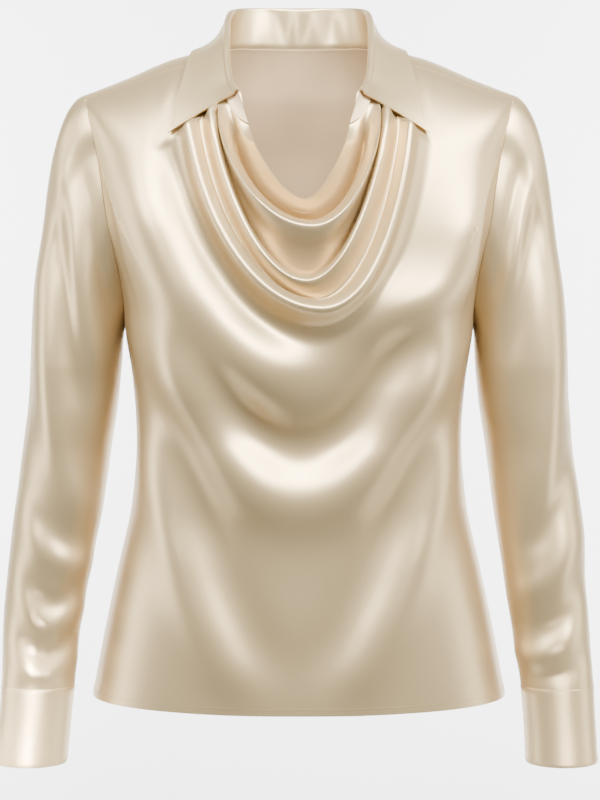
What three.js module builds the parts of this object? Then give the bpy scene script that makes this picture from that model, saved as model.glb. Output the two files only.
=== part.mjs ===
// A woman's satin blouse, filled out as it is when worn, with nobody in it.
// The front is one bias-cut panel that hangs in a deep cowl between the two ends of a folded shirt collar.
// The back comes forward over the shoulder to its seam. The sleeves are long and set in, the cuffs straight.
// Millimetres. +Z is up, the front faces -Y, and the origin is midway between the shoulders at the neck.
import * as THREE from "three";

// Thickness of the walls: single cloth, and cloth sewn double over an interlining.
const CLOTH = 1.2;
const COLLAR_CLOTH = 1.5;
const CUFF_CLOTH = 1.8;
// Clear space between two pieces where they are sewn together.
const SEAM_GAP = 0.6;

// Overall sizes.
const SHOULDER_TIP = 200.5;
const UNDERARM = -249;
const HEM = -598;

// How many steps each panel's grid has.
const FRONT_ACROSS = 30;
const BACK_SHOULDER_STEPS = 10;
const BACK_NECK_STEPS = 14;
const BACK_NECK_SHARE = 0.62;
const BACK_ARMHOLE_STEPS = 12;
const BACK_SIDE_STEPS = 9;
const SLEEVE_CAP_STEPS = 6;
const SLEEVE_STEPS = 15;

const vector = (x, y, z) => new THREE.Vector3(x, y, z);
const clamp = (t, low, high) => Math.min(high, Math.max(low, t));
const smooth = (t, low, high) => THREE.MathUtils.smoothstep(t, low, high);
const steps = (count) => Array.from({ length: count + 1 }, (_, i) => i / count);

// Rows of a table, each value under its column's name.
function table(names, rows) {
  const columns = names.split(" ");
  return rows.map((row) => Object.fromEntries(columns.map((name, i) => [name, row[i]])));
}

// A smooth curve through a table's rows, which never swings past a row. It gives every other column.
function through(places, by) {
  const rows = [...places].sort((a, b) => a[by] - b[by]);
  const at = rows.map((row) => row[by]);
  const names = Object.keys(rows[0]).filter((name) => name !== by && typeof rows[0][name] === "number");
  const slopes = {};
  for (const name of names) {
    const secant = at.slice(1).map((a, i) => (rows[i + 1][name] - rows[i][name]) / (a - at[i]));
    slopes[name] = at.map((_, i) => {
      if (i === 0) return secant[0];
      if (i === at.length - 1) return secant[i - 1];
      const [before, after] = [secant[i - 1], secant[i]];
      return before * after <= 0 ? 0 : (2 * before * after) / (before + after);
    });
  }
  return (where) => {
    const t = clamp(where, at[0], at[at.length - 1]);
    let i = 0;
    while (i < at.length - 2 && t > at[i + 1]) i += 1;
    const h = at[i + 1] - at[i];
    const s = (t - at[i]) / h;
    const result = {};
    for (const name of names) {
      const [a, b] = [rows[i][name], rows[i + 1][name]];
      const [ma, mb] = [slopes[name][i] * h, slopes[name][i + 1] * h];
      result[name] =
        a * (2 * s ** 3 - 3 * s ** 2 + 1) +
        ma * (s ** 3 - 2 * s ** 2 + s) +
        b * (3 * s ** 2 - 2 * s ** 3) +
        mb * (s ** 3 - s ** 2);
    }
    return result;
  };
}

// The points of a polyline, spaced evenly along its length.
function evenly(line, count) {
  const along = [0];
  for (let i = 1; i < line.length; i += 1) along.push(along[i - 1] + line[i].distanceTo(line[i - 1]));
  const total = along[along.length - 1];
  let i = 0;
  return steps(count).map((t) => {
    while (i < line.length - 2 && along[i + 1] < t * total) i += 1;
    const share = (t * total - along[i]) / Math.max(along[i + 1] - along[i], 1e-9);
    return line[i].clone().lerp(line[i + 1], clamp(share, 0, 1));
  });
}

// The body of the garment.
// The top of the shoulder: its height, out from the middle. Inside the neck it is only a guide.
const RIDGE = [
  { x: 0, z: 66 },
  { x: 30, z: 60 },
  { x: 50, z: 45.5 },
  { x: 60, z: 35.5 },
  { x: 70, z: 24.8 },
  { x: 78, z: 17 },
  { x: 86, z: 12.3 },
  { x: 98, z: 8.2 },
  { x: 120, z: 2 },
  { x: 165, z: -17 },
  { x: 203, z: -31.5 },
];
// Half the width, and how far the front and the back stand out, at each height.
const GIRTH = [
  { z: -33, half: 204, front: 97, back: 84 },
  { z: -64, half: 201, front: 100, back: 92 },
  { z: -89, half: 196, front: 104, back: 98 },
  { z: -122, half: 193.7, front: 109, back: 102 },
  { z: -150, half: 190, front: 113, back: 105 },
  { z: -178, half: 180.3, front: 117, back: 107 },
  { z: -206, half: 171, front: 120, back: 107 },
  { z: -234, half: 165.5, front: 121.5, back: 105 },
  { z: -249, half: 164.5, front: 122, back: 104 },
  { z: -300, half: 157, front: 119, back: 96 },
  { z: -357, half: 153.5, front: 110, back: 85 },
  { z: -415, half: 158.6, front: 110, back: 94 },
  { z: -472, half: 171, front: 114, back: 107 },
  { z: -530, half: 183.5, front: 120, back: 114 },
  { z: -600, half: 197, front: 125, back: 119 },
];
const FRONT_SQUARE = 2.4;
const BACK_SQUARE = 2.3;
const SHOULDER_ROUND = 32;
const SHOULDER_SLOPE = 0.5;

const ridgeAt = through(RIDGE, "x");
const girthAt = through(GIRTH, "z");

// How far forward or back the cloth is, at a place seen from the front. face is -1 in front and 1 behind.
function depth(face, x, z) {
  const girth = girthAt(z);
  const square = face < 0 ? FRONT_SQUARE : BACK_SQUARE;
  const out = face < 0 ? girth.front : girth.back;
  const full = out * Math.max(0, 1 - (Math.abs(x) / girth.half) ** square) ** (1 / square);
  const drop = Math.max(0, ridgeAt(Math.abs(x)).z - z);
  const rise = Math.sqrt(2 * SHOULDER_ROUND * drop + SHOULDER_SLOPE * drop ** 2);
  if (full === 0 || rise === 0) return 0;
  return (face * full * rise) / (full ** 4 + rise ** 4) ** 0.25;
}

const frontPoint = (x, z) => vector(x, depth(-1, x, z), z);

// A point given by its distance from the middle and the signed root of its drop below the ridge, so that
// the cloth is smooth over the shoulder: below zero it is in front, above zero behind.
function bodyPoint(x, root) {
  const z = ridgeAt(Math.abs(x)).z - root ** 2;
  return vector(x, depth(root < 0 ? -1 : 1, x, z), z);
}

// The direction straight out of the cloth at such a point.
function bodyOut(x, root) {
  const e = 0.5;
  const across = bodyPoint(x + e, root).sub(bodyPoint(x - e, root));
  const along = bodyPoint(x, root + e / 4).sub(bodyPoint(x, root - e / 4));
  return across.cross(along).normalize();
}

// The seams.
// The neck seam, from the middle of the back round to the collar's front end.
const NECK = [
  { at: 0, x: 0, root: 7.1 },
  { at: 1, x: 30, root: 6.65 },
  { at: 2, x: 56, root: 4.95 },
  { at: 3, x: 72, root: 2.8 },
  { at: 4, x: 78, root: 0 },
  { at: 5, x: 77.5, root: -3.4 },
  { at: 6, x: 76, root: -5.33 },
  { at: 7, x: 71, root: -7.07 },
  { at: 8, x: 62, root: -8.8 },
  { at: 9, x: 54.5, root: -9.8 },
  { at: 10, x: 46, root: -10.45 },
];
const NECK_AT_SHOULDER = 5;
const NECK_END = 10;
const NECK_WIDTH = 77.5;
// The shoulder seam lies in front of the top of the shoulder, by this much drop.
const SHOULDER_SEAM = [
  { x: NECK_WIDTH, drop: 11.56 },
  { x: 120, drop: 9.5 },
  { x: 165, drop: 7.5 },
  { x: SHOULDER_TIP, drop: 2.6 },
];
// The armhole seen from the front.
const ARMHOLE = [
  { z: -33.2, x: SHOULDER_TIP },
  { z: -64, x: 193.5 },
  { z: -89, x: 188 },
  { z: -122, x: 182.6 },
  { z: -150, x: 178.4 },
  { z: -178, x: 172 },
  { z: -206, x: 167 },
  { z: -234, x: 164.2 },
  { z: UNDERARM, x: 164.5 },
];
const neckAt = through(NECK, "at");
const shoulderSeamAt = through(SHOULDER_SEAM, "x");
const armholeAt = through(ARMHOLE, "z");
const edgeX = (z) => (z > UNDERARM ? armholeAt(z).x : girthAt(z).half);

// Each seam is a line of places on the body, from start to end.
function neckLine(from, to, count) {
  return steps(count).map((t) => {
    const at = THREE.MathUtils.lerp(from, to, t);
    return { at, ...neckAt(at) };
  });
}

function shoulderLine(count) {
  return steps(count).map((t) => {
    const x = THREE.MathUtils.lerp(NECK_WIDTH, SHOULDER_TIP, t);
    return { x, root: -Math.sqrt(shoulderSeamAt(x).drop) };
  });
}

function armholeLine(face, count) {
  const start = -Math.sqrt(shoulderSeamAt(SHOULDER_TIP).drop);
  const end = face * Math.sqrt(ridgeAt(armholeAt(UNDERARM).x).z - UNDERARM);
  return steps(count).map((t) => {
    const root = THREE.MathUtils.lerp(start, end, t);
    let x = SHOULDER_TIP;
    for (let i = 0; i < 4; i += 1) x = armholeAt(ridgeAt(x).z - root ** 2).x;
    return { x, root };
  });
}

function sideLine(face, count) {
  return steps(count).map((t) => {
    const x = girthAt(THREE.MathUtils.lerp(UNDERARM, HEM, t)).half;
    return { x, root: face * Math.sqrt(ridgeAt(x).z - THREE.MathUtils.lerp(UNDERARM, HEM, t)) };
  });
}

// At a seam both pieces share one direction out of the cloth: away from a point inside the garment.
const NECK_CENTRE = vector(0, -10, -60);
const SHOULDER_CENTRE = vector(60, -6, -140);
const ARMHOLE_CENTRE = vector(150, 0, -141);
const FRONT_MIDDLE = vector(0, -110, -330);
const BACK_MIDDLE = vector(0, 100, -330);
const NECK_ABOVE = vector(0, -20, 60);
const ARM_MIDDLE = vector(260, -10, -350);

// The cut edge of a piece along a seam, drawn back from the seam by half the gap, on the side of a point
// in the middle of the piece. side is 1 for the right-hand side as seen from the front, and -1 for the left.
function cutEdge(places, side, centre, middle) {
  const mirror = (v) => vector(side * v.x, v.y, v.z);
  const points = places.map((place) => place.p ?? bodyPoint(side * place.x, place.root));
  const last = points.length - 1;
  return points.map((p, i) => {
    const out = centre ? p.clone().sub(mirror(centre)).normalize() : vector(side, 0, 0);
    const along = points[Math.min(last, i + 1)].clone().sub(points[Math.max(0, i - 1)]);
    const back = out.clone().cross(along).normalize();
    if (back.dot(mirror(middle).sub(p)) < 0) back.negate();
    return { p, out, back: back.multiplyScalar(SEAM_GAP / 2), at: places[i].at ?? 0 };
  });
}

// Cut edges joined end to end. At a corner the piece is drawn back from both seams.
function joined(...edges) {
  const line = [...edges[0]];
  const corners = [];
  for (const edge of edges.slice(1)) {
    const corner = line.pop();
    corners.push(line.length);
    line.push({ ...corner, back: corner.back.clone().add(edge[0].back) }, ...edge.slice(1));
  }
  const along = [0];
  for (let i = 1; i < line.length; i += 1) along.push(along[i - 1] + line[i].p.distanceTo(line[i - 1].p));
  const at = (distance) => {
    let i = 0;
    while (i < line.length - 2 && along[i + 1] < distance) i += 1;
    const share = clamp((distance - along[i]) / (along[i + 1] - along[i]), 0, 1);
    const [a, b] = [line[i], line[i + 1]];
    return {
      p: a.p.clone().lerp(b.p, share),
      out: a.out.clone().lerp(b.out, share).normalize(),
      back: a.back.clone().lerp(b.back, share),
      at: THREE.MathUtils.lerp(a.at, b.at, share),
    };
  };
  return { at, corners: corners.map((i) => along[i]), length: along[along.length - 1] };
}

// The distances nearest to the corners are moved onto them.
function snapped(distances, corners) {
  const result = [...distances];
  for (const corner of corners) {
    let best = 0;
    result.forEach((d, i) => {
      if (Math.abs(d - corner) < Math.abs(result[best] - corner)) best = i;
    });
    result[best] = corner;
  }
  return result;
}

// The directions out of a grid of points, and down its columns.
function gridDirections(rows, around = false) {
  const last = rows.length - 1;
  const count = rows[0].length;
  const step = (j) => (around ? (j + count) % count : clamp(j, 0, count - 1));
  return rows.map((row, i) =>
    row.map((_, j) => {
      const across = row[step(j + 1)].clone().sub(row[step(j - 1)]);
      const down = rows[Math.min(last, i + 1)][j].clone().sub(rows[Math.max(0, i - 1)][j]);
      return { out: down.clone().cross(across).normalize(), down: down.normalize() };
    }),
  );
}

// A closed wall of cloth: the grid's points are its right side, and the wrong side lies behind them.
// edgeOut gives the shared direction at a seam, and nothing elsewhere.
function wall(rows, thick, { around = false, edgeOut = () => null } = {}) {
  const directions = gridDirections(rows, around);
  const [height, count] = [rows.length, rows[0].length];
  const positions = [];
  rows.forEach((row) => row.forEach((p) => positions.push(p.x, p.y, p.z)));
  rows.forEach((row, i) =>
    row.forEach((p, j) => {
      const back = p.clone().addScaledVector(edgeOut(i, j) ?? directions[i][j].out, -thick);
      positions.push(back.x, back.y, back.z);
    }),
  );
  const index = (side, i, j) => side * height * count + i * count + (around ? j % count : j);
  const faces = [];
  const quad = (a, b, c, d) => faces.push(a, b, c, a, c, d);
  const lastColumn = around ? count : count - 1;
  for (let i = 0; i < height - 1; i += 1) {
    for (let j = 0; j < lastColumn; j += 1) {
      quad(index(0, i, j), index(0, i + 1, j), index(0, i + 1, j + 1), index(0, i, j + 1));
      quad(index(1, i, j), index(1, i, j + 1), index(1, i + 1, j + 1), index(1, i + 1, j));
    }
  }
  for (let j = 0; j < lastColumn; j += 1) {
    quad(index(0, 0, j), index(0, 0, j + 1), index(1, 0, j + 1), index(1, 0, j));
    const end = height - 1;
    quad(index(0, end, j + 1), index(0, end, j), index(1, end, j), index(1, end, j + 1));
  }
  if (!around) {
    for (let i = 0; i < height - 1; i += 1) {
      quad(index(0, i + 1, 0), index(0, i, 0), index(1, i, 0), index(1, i + 1, 0));
      const end = count - 1;
      quad(index(0, i, end), index(0, i + 1, end), index(1, i + 1, end), index(1, i, end));
    }
  }
  const geometry = new THREE.BufferGeometry();
  geometry.setAttribute("position", new THREE.Float32BufferAttribute(positions, 3));
  geometry.setIndex(faces);
  geometry.computeVertexNormals();
  return geometry;
}

// Soft folds, seen from the front. line: the Bezier points that a fold follows. start, middle and end: how
// far its crest stands out there, or its trough in. grow and die: the shares of it where it rises and fades.
// Each is a row of small bells along its line, summed so that a straight fold is as high as stated.
const FOLD_COLUMNS = "line width start middle end grow die";
const FOLD_BELLS = 80;

function bellsOf(fold) {
  const points = fold.line.map(([x, z]) => new THREE.Vector2(x, z));
  const line = new THREE.CubicBezierCurve(...points).getPoints(FOLD_BELLS);
  return line.map((p, i) => {
    const t = i / FOLD_BELLS;
    const [before, after] = [Math.max(0, i - 1), Math.min(FOLD_BELLS, i + 1)];
    const length = line[after].distanceTo(line[before]) / (after - before);
    const share = smooth(t, -0.001, fold.grow) * (1 - smooth(t, 1 - fold.die, 1.001));
    const [from, to, part] = t < 0.5 ? [fold.start, fold.middle, 2 * t] : [fold.middle, fold.end, 2 * t - 1];
    const height = THREE.MathUtils.lerp(from, to, part) * share;
    return { p, width: fold.width, weight: (height * length) / (fold.width * Math.sqrt(Math.PI)) };
  });
}

function foldHeight(bells, x, z) {
  let total = 0;
  for (const { p, width, weight } of bells) {
    total += weight * Math.exp(-((x - p.x) ** 2 + (z - p.y) ** 2) / width ** 2);
  }
  return total;
}

// The front. Its grid follows the swags: each row hangs like a chain from one edge to the other.
// left and right: where the row starts and ends, along the edge from the collar's end.
// x and z: its lowest point. flat: how wide its bottom is. lean and fall: its slope and length at the ends.
// out: how far the fold stands out of the body. tuck: how far it is pulled down, behind the fold below.
// fade: how far from the seams the fold dies away. steps: grid rows from here to the next.
const SWAGS = table("row left right x z flat lean fall out tuck fade steps", [
  [1, 0, 0, 5, -131, 0.32, 0.16, 0.5, 9, 0, 60, 2],
  [2, 12, 12, 6, -138, 0.4, 0.12, 0.5, 4, 3, 70, 2],
  [3, 25, 25, 8, -144, 0.48, 0.06, 0.5, -5, 8, 90, 2],
  [4, 38, 38, 11, -149, 0.52, 0.03, 0.52, 9, 0, 100, 2],
  [5, 52, 52, 12, -157, 0.55, 0, 0.55, 22, 0, 110, 2],
  [6, 66, 66, 10, -176, 0.53, 0, 0.52, 9, 2, 105, 2],
  [7, 80, 80, 8, -192, 0.52, 0, 0.5, -1, 8, 100, 2],
  [8, 92, 92, 7, -197, 0.5, 0, 0.52, 4, 1, 95, 2],
  [9, 102, 102, 7, -204, 0.5, 0, 0.52, 15, 0, 90, 2],
  [10, 110, 110, 12, -214, 0.51, 0, 0.52, 3, 7, 85, 2],
  [11, 118, 117, 18, -220, 0.53, 0, 0.54, 9, 1, 80, 2],
  [12, 127, 125, 20, -229, 0.55, 0, 0.55, 19, 0, 80, 2],
  [13, 140, 138, 18, -245, 0.53, 0.01, 0.52, 6, 0, 75, 2],
  [14, 162, 158, 14, -262, 0.5, 0.03, 0.5, 0, 0, 70, 2],
  [15, 205, 200, 1, -288, 0.42, 0.08, 0.45, 0, 0, 60, 3],
  [16, 262, 258, -1, -325, 0.38, 0.14, 0.38, 0, 0, 60, 3],
  [17, 315, 315, -1, -356, 0.36, 0.2, 0.3, 0, 0, 60, 3],
  [18, 365, 365, -1, -388, 0.38, 0.25, 0.28, 0, 0, 60, 4],
  [19, 460, 460, 0, -455, 0.4, 0.3, 0.25, 0, 0, 60, 5],
  [20, 640, 640, 0, -545, 0.4, 0.33, 0.2, 0, 0, 60, 4],
  [21, 822, 822, 0, -600, 0.4, 0.33, 0.2, 0, 0, 60, 0],
]);
// The top edge is turned to the inside. out and tuck are from the edge of the roll.
const TURNED_EDGE = [
  { out: -10.5, tuck: 10 },
  { out: -9, tuck: 6 },
  { out: -4.5, tuck: -1.5 },
];

// One row of the front, as even points on the body before it is folded.
function swagRow(swag, ends, count) {
  const arm = (side, end) => {
    const [wide, deep] = [end.x - swag.x, end.z - swag.z];
    const bend = new THREE.CubicBezierCurve(
      new THREE.Vector2(swag.x, swag.z),
      new THREE.Vector2(swag.x + swag.flat * wide, swag.z),
      new THREE.Vector2(end.x - swag.lean * wide, end.z - swag.fall * deep),
      new THREE.Vector2(end.x, end.z),
    );
    const line = steps(120).map((t) => {
      const p = bend.getPoint(Math.sin((t * Math.PI) / 2));
      const x = side * Math.min(side * p.x, edgeX(p.y));
      return vector(x, depth(-1, x, p.y), p.y);
    });
    line[line.length - 1] = end.clone();
    return line;
  };
  const left = arm(-1, ends.left.p).reverse();
  const right = arm(1, ends.right.p);
  return [...evenly(left, count / 2), ...evenly(right, count / 2).slice(1)];
}

// The broad folds below the cowl.
const BROAD_FOLDS = table(FOLD_COLUMNS, [
  [[[-111, -55], [-130, -122], [-31, -296], [48, -247]], 20, -10, -14, -8, 0.2, 0.3],
  [[[-166, -72], [-130, -135], [-104, -326], [24, -287]], 34, 14, 18, 15, 0.3, 0.15],
  [[[50, -243], [191, -208], [119, -203], [192, -83]], 28, 12, 14, 12, 0.05, 0.35],
  [[[-108, -230], [-20, -414], [22, -399], [115, -237]], 28, -16, -8, -16, 0.06, 0.06],
  [[[-114, -237], [-66, -477], [69, -462], [127, -241]], 32, 16, 10, 16, 0.06, 0.06],
  [[[-146, -309], [-122, -403], [-111, -513], [-44, -589]], 22, 8, 9, 6, 0.25, 0.1],
  [[[-114, -285], [-95, -390], [-73, -496], [-8, -579]], 24, -7, -9, -5, 0.2, 0.15],
  [[[39, -589], [98, -509], [128, -407], [142, -309]], 22, 6, 9, 8, 0.1, 0.25],
  [[[8, -579], [58, -492], [108, -394], [112, -285]], 24, -5, -9, -7, 0.15, 0.2],
]);
const broadBells = BROAD_FOLDS.flatMap(bellsOf);

// Under the leaves of the collar the folds lie nearly flat. The front edge of a leaf slopes from its fold
// to its point, and its outer edge falls from the shoulder to the same point.
const LEAF_START = { x: 54, z: -24 };
const LEAF_POINT = { x: 120, z: -70 };
const LEAF_SHOULDER = { x: 103, z: -2 };
const LEAF_PRESS = 0.96;

function pressedAt(x, z) {
  const frontSlope = (LEAF_POINT.z - LEAF_START.z) / (LEAF_POINT.x - LEAF_START.x);
  const above = z - LEAF_START.z - frontSlope * (Math.abs(x) - LEAF_START.x);
  const outerSlope = (LEAF_POINT.x - LEAF_SHOULDER.x) / (LEAF_POINT.z - LEAF_SHOULDER.z);
  const beyond = Math.abs(x) - LEAF_SHOULDER.x - outerSlope * (z - LEAF_SHOULDER.z);
  return 1 - LEAF_PRESS * smooth(above, -26, -5) * (1 - smooth(beyond, 5, 20));
}

function frontEdge(side) {
  return joined(
    cutEdge(neckLine(NECK_END, NECK_AT_SHOULDER, 30), side, NECK_CENTRE, FRONT_MIDDLE),
    cutEdge(shoulderLine(30), side, SHOULDER_CENTRE, FRONT_MIDDLE),
    cutEdge(armholeLine(-1, 120), side, ARMHOLE_CENTRE, FRONT_MIDDLE),
    cutEdge(sideLine(-1, 60), side, null, FRONT_MIDDLE),
  );
}

function frontPanel() {
  const swagAt = through(SWAGS, "row");
  const edges = { left: frontEdge(-1), right: frontEdge(1) };
  const places = SWAGS.flatMap((swag) => {
    const between = steps(Math.max(1, swag.steps)).slice(0, -1);
    return between.map((t) => swag.row + t);
  });
  const swags = places.map((row) => swagAt(row));
  const ends = {};
  for (const side of ["left", "right"]) {
    const stretch = edges[side].length / SWAGS[SWAGS.length - 1][side];
    const distances = swags.map((swag) => swag[side] * (1 + (stretch - 1) * smooth(swag[side], 400, 822)));
    const snappedTo = snapped(distances, [...edges[side].corners, edges[side].length]);
    ends[side] = snappedTo.map((distance) => ({ distance, ...edges[side].at(distance) }));
  }
  const flat = swags.map((swag, i) => {
    const [left, right] = [ends.left[i], ends.right[i]];
    return swagRow(swag, { left, right }, FRONT_ACROSS);
  });
  const directions = gridDirections(flat);
  const middle = FRONT_ACROSS / 2;
  const held = (i, j) => {
    const line = j < middle ? flat[i].slice(0, middle + 1) : flat[i].slice(middle).reverse();
    const spacing = line[1].distanceTo(line[2]);
    const fade = smooth((middle - Math.abs(j - middle)) * spacing, 0, swags[i].fade);
    return fade * pressedAt(flat[i][j].x, flat[i][j].z);
  };
  const cloth = flat.map((row, i) =>
    row.map((p, j) => {
      if (j === 0) return p.clone().add(ends.left[i].back);
      if (j === FRONT_ACROSS) return p.clone().add(ends.right[i].back);
      const { out, down } = directions[i][j];
      const hold = held(i, j);
      return p
        .clone()
        .addScaledVector(out, (swags[i].out + foldHeight(broadBells, p.x, p.z)) * hold)
        .addScaledVector(down, swags[i].tuck * hold ** 2);
    }),
  );
  const turned = TURNED_EDGE.map((turn) =>
    cloth[0].map((p, j) => {
      const share = 0.5 + 0.5 * held(0, j);
      const { out, down } = directions[0][j];
      return p
        .clone()
        .addScaledVector(out, turn.out * share)
        .addScaledVector(down, turn.tuck * share);
    }),
  );
  const edgeOut = (i, j) => {
    const row = i - turned.length;
    if (row < 0 || (j > 0 && j < FRONT_ACROSS)) return null;
    return j === 0 ? ends.left[row].out : ends.right[row].out;
  };
  const inArmhole = (side) => {
    const [, tip, underarm] = edges[side].corners;
    return ends[side].filter(({ distance }) => distance >= tip - 1e-6 && distance <= underarm + 1e-6);
  };
  const atNeck = (side) => ends[side].filter(({ distance }) => distance <= edges[side].corners[0] + 1e-6);
  return {
    geometry: wall([...turned, ...cloth], CLOTH, { edgeOut }),
    armhole: { left: inArmhole("left"), right: inArmhole("right") },
    neck: { left: atNeck("left"), right: atNeck("right") },
  };
}

// The back. Its columns fall from the shoulder and neck seams, and its rows cross from side to side.
// It falls in a few soft folds from the shoulder blades, seen from the front like the others.
const BACK_FOLDS = table(FOLD_COLUMNS, [
  [[[-150, -95], [-118, -190], [-96, -300], [-104, -420]], 24, 4, 6, 3, 0.3, 0.3],
  [[[156, -110], [120, -215], [88, -300], [92, -445]], 22, 3, 5, 4, 0.3, 0.3],
  [[[-58, -120], [-50, -240], [-66, -380], [-88, -590]], 22, 2, 4, 6, 0.4, 0.05],
  [[[40, -150], [52, -270], [46, -420], [70, -590]], 26, 2, 5, 7, 0.3, 0.05],
  [[[-8, -300], [-14, -400], [6, -500], [-4, -590]], 24, -2, -4, -3, 0.3, 0.05],
  [[[112, -420], [118, -480], [126, -540], [134, -590]], 20, 3, 5, 5, 0.3, 0.05],
]);
const backBells = BACK_FOLDS.flatMap(bellsOf);

function backPanel() {
  const edges = {};
  const distances = {};
  for (const [name, side] of [["left", -1], ["right", 1]]) {
    const armhole = cutEdge(armholeLine(1, 160), side, ARMHOLE_CENTRE, BACK_MIDDLE);
    edges[name] = joined(armhole, cutEdge(sideLine(1, 60), side, null, BACK_MIDDLE));
    const [underarm] = edges[name].corners;
    distances[name] = [
      ...steps(BACK_ARMHOLE_STEPS).map((t) => underarm * t ** 1.35),
      ...steps(BACK_SIDE_STEPS).slice(1).map((t) => THREE.MathUtils.lerp(underarm, edges[name].length, t)),
    ];
  }
  // The edge's own places on the body, found again from its height.
  const placeOf = ({ p }) => {
    const x = Math.abs(p.x);
    const drop = Math.max(0, ridgeAt(x).z - p.z);
    return { x, root: (p.y < 0 ? -1 : 1) * Math.sqrt(drop) };
  };
  const down = distances.left.length - 1;
  const side = distances.right.map((distance) => placeOf(edges.right.at(distance)));
  const shoulder = shoulderLine(BACK_SHOULDER_STEPS);
  const neck = neckLine(NECK_AT_SHOULDER, 0, BACK_NECK_STEPS / 2);
  const topHalf = [...[...shoulder].reverse(), ...neck.slice(1)];
  const shoulderCut = cutEdge(shoulder, 1, SHOULDER_CENTRE, BACK_MIDDLE);
  const neckCut = cutEdge(neckLine(NECK_AT_SHOULDER, 0, BACK_NECK_STEPS / 2), 1, NECK_CENTRE, BACK_MIDDLE);
  // The two cuts meet at the neck end of the shoulder, and the armhole's begins at the tip.
  const tip = edges.right.at(0);
  const corner = { ...neckCut[0], back: neckCut[0].back.clone().add(shoulderCut[0].back) };
  const tipCut = { ...tip, back: tip.back.clone().add(shoulderCut[shoulder.length - 1].back) };
  const middleCut = neckCut[neckCut.length - 1];
  middleCut.back.x = 0;
  const topCut = [tipCut, ...shoulderCut.slice(1, -1).reverse(), corner, ...neckCut.slice(1)];
  const half = topHalf.length - 1;
  const mirror = (v) => vector(-v.x, v.y, v.z);
  // How far out each column stands in the lower rows: 1 at the side, 0 in the middle.
  const widthBelow = topHalf.map((_, k) =>
    k < BACK_SHOULDER_STEPS
      ? THREE.MathUtils.lerp(1, BACK_NECK_SHARE, k / BACK_SHOULDER_STEPS)
      : BACK_NECK_SHARE * (1 - (k - BACK_SHOULDER_STEPS) / (BACK_NECK_STEPS / 2)),
  );
  const rows = [];
  const flat = [];
  for (let i = 0; i <= down; i += 1) {
    const share = (side[i].root - side[0].root) / (side[down].root - side[0].root);
    const spread = smooth(i / down, -0.25, 0.5);
    flat.push(
      Array.from({ length: 2 * half + 1 }, (_, j) => {
        const k = j <= half ? j : 2 * half - j;
        const sign = j <= half ? 1 : -1;
        if (i === 0) return bodyPoint(sign * topHalf[k].x, topHalf[k].root);
        const width = THREE.MathUtils.lerp(topHalf[k].x / SHOULDER_TIP, widthBelow[k], spread);
        const x = side[i].x * width;
        const hemX = side[down].x * widthBelow[k];
        const hemRoot = Math.sqrt(ridgeAt(hemX).z - HEM);
        return bodyPoint(sign * x, THREE.MathUtils.lerp(topHalf[k].root, hemRoot, share));
      }),
    );
  }
  const directions = gridDirections(flat);
  const last = 2 * half;
  for (let i = 0; i <= down; i += 1) {
    rows.push(
      flat[i].map((p, j) => {
        const k = j <= half ? j : last - j;
        const flip = (v) => (j <= half ? v.clone() : mirror(v));
        if (i === 0) return flip(topCut[k].p).add(flip(topCut[k].back));
        if (k === 0) {
          const edge = j === 0 ? edges.right.at(distances.right[i]) : edges.left.at(distances.left[i]);
          return edge.p.clone().add(edge.back);
        }
        const hold = smooth(k, 0, 3);
        return p.clone().addScaledVector(directions[i][j].out, foldHeight(backBells, p.x, p.z) * hold);
      }),
    );
  }
  const edgeOut = (i, j) => {
    const k = j <= half ? j : last - j;
    if (i === 0) return j <= half ? topCut[k].out : mirror(topCut[k].out);
    if (k > 0) return null;
    return j === 0 ? edges.right.at(distances.right[i]).out : edges.left.at(distances.left[i]).out;
  };
  const inArmhole = (name) =>
    distances[name]
      .filter((distance) => distance <= edges[name].corners[0] + 1e-6)
      .map((distance) => edges[name].at(distance));
  return {
    geometry: wall(rows, CLOTH, { edgeOut }),
    armhole: { left: inArmhole("left"), right: inArmhole("right") },
    neck: neckCut,
  };
}

// The sleeves. Below the cap each is a stack of ovals.
// left and right: how far out each arm's middle is. y: how far back. half and deep: half the oval's size.
const SLEEVE = [
  { z: -285, left: 210.5, right: 209.5, y: 2, half: 42.4, deep: 56 },
  { z: -320, left: 214, right: 213, y: 3, half: 42.4, deep: 55 },
  { z: -357, left: 219.5, right: 218.5, y: 3, half: 42.2, deep: 53 },
  { z: -415, left: 227.5, right: 225.5, y: -3, half: 41.8, deep: 50 },
  { z: -472, left: 236, right: 232, y: -10, half: 39.8, deep: 46 },
  { z: -530, left: 243.5, right: 238, y: -18, half: 37, deep: 41 },
  { z: -568, left: 246, right: 242.5, y: -23, half: 35.2, deep: 37 },
  { z: -586.5, left: 247, right: 244.5, y: -25, half: 34.6, deep: 35 },
];
const BICEPS = -285;
const WRIST = -586.5;
// How the cap leaves the armhole at its top, front, underarm and back (quarter turns): how far it carries
// on, how many degrees it turns out of the seam, and how much it drops. arrive is the pull at the biceps.
const CAP = [
  { turn: 0, reach: 118, rise: 18, drop: 0, arrive: 265 },
  { turn: 1, reach: 62, rise: 25, drop: 0.8, arrive: 150 },
  { turn: 1.7, reach: 30, rise: 50, drop: 0.6, arrive: 70 },
  { turn: 2, reach: 22, rise: 78, drop: 0.2, arrive: 40 },
  { turn: 2.3, reach: 30, rise: 50, drop: 0.6, arrive: 70 },
  { turn: 3, reach: 62, rise: 25, drop: 0.8, arrive: 150 },
  { turn: 4, reach: 118, rise: 18, drop: 0, arrive: 265 },
];
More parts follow.
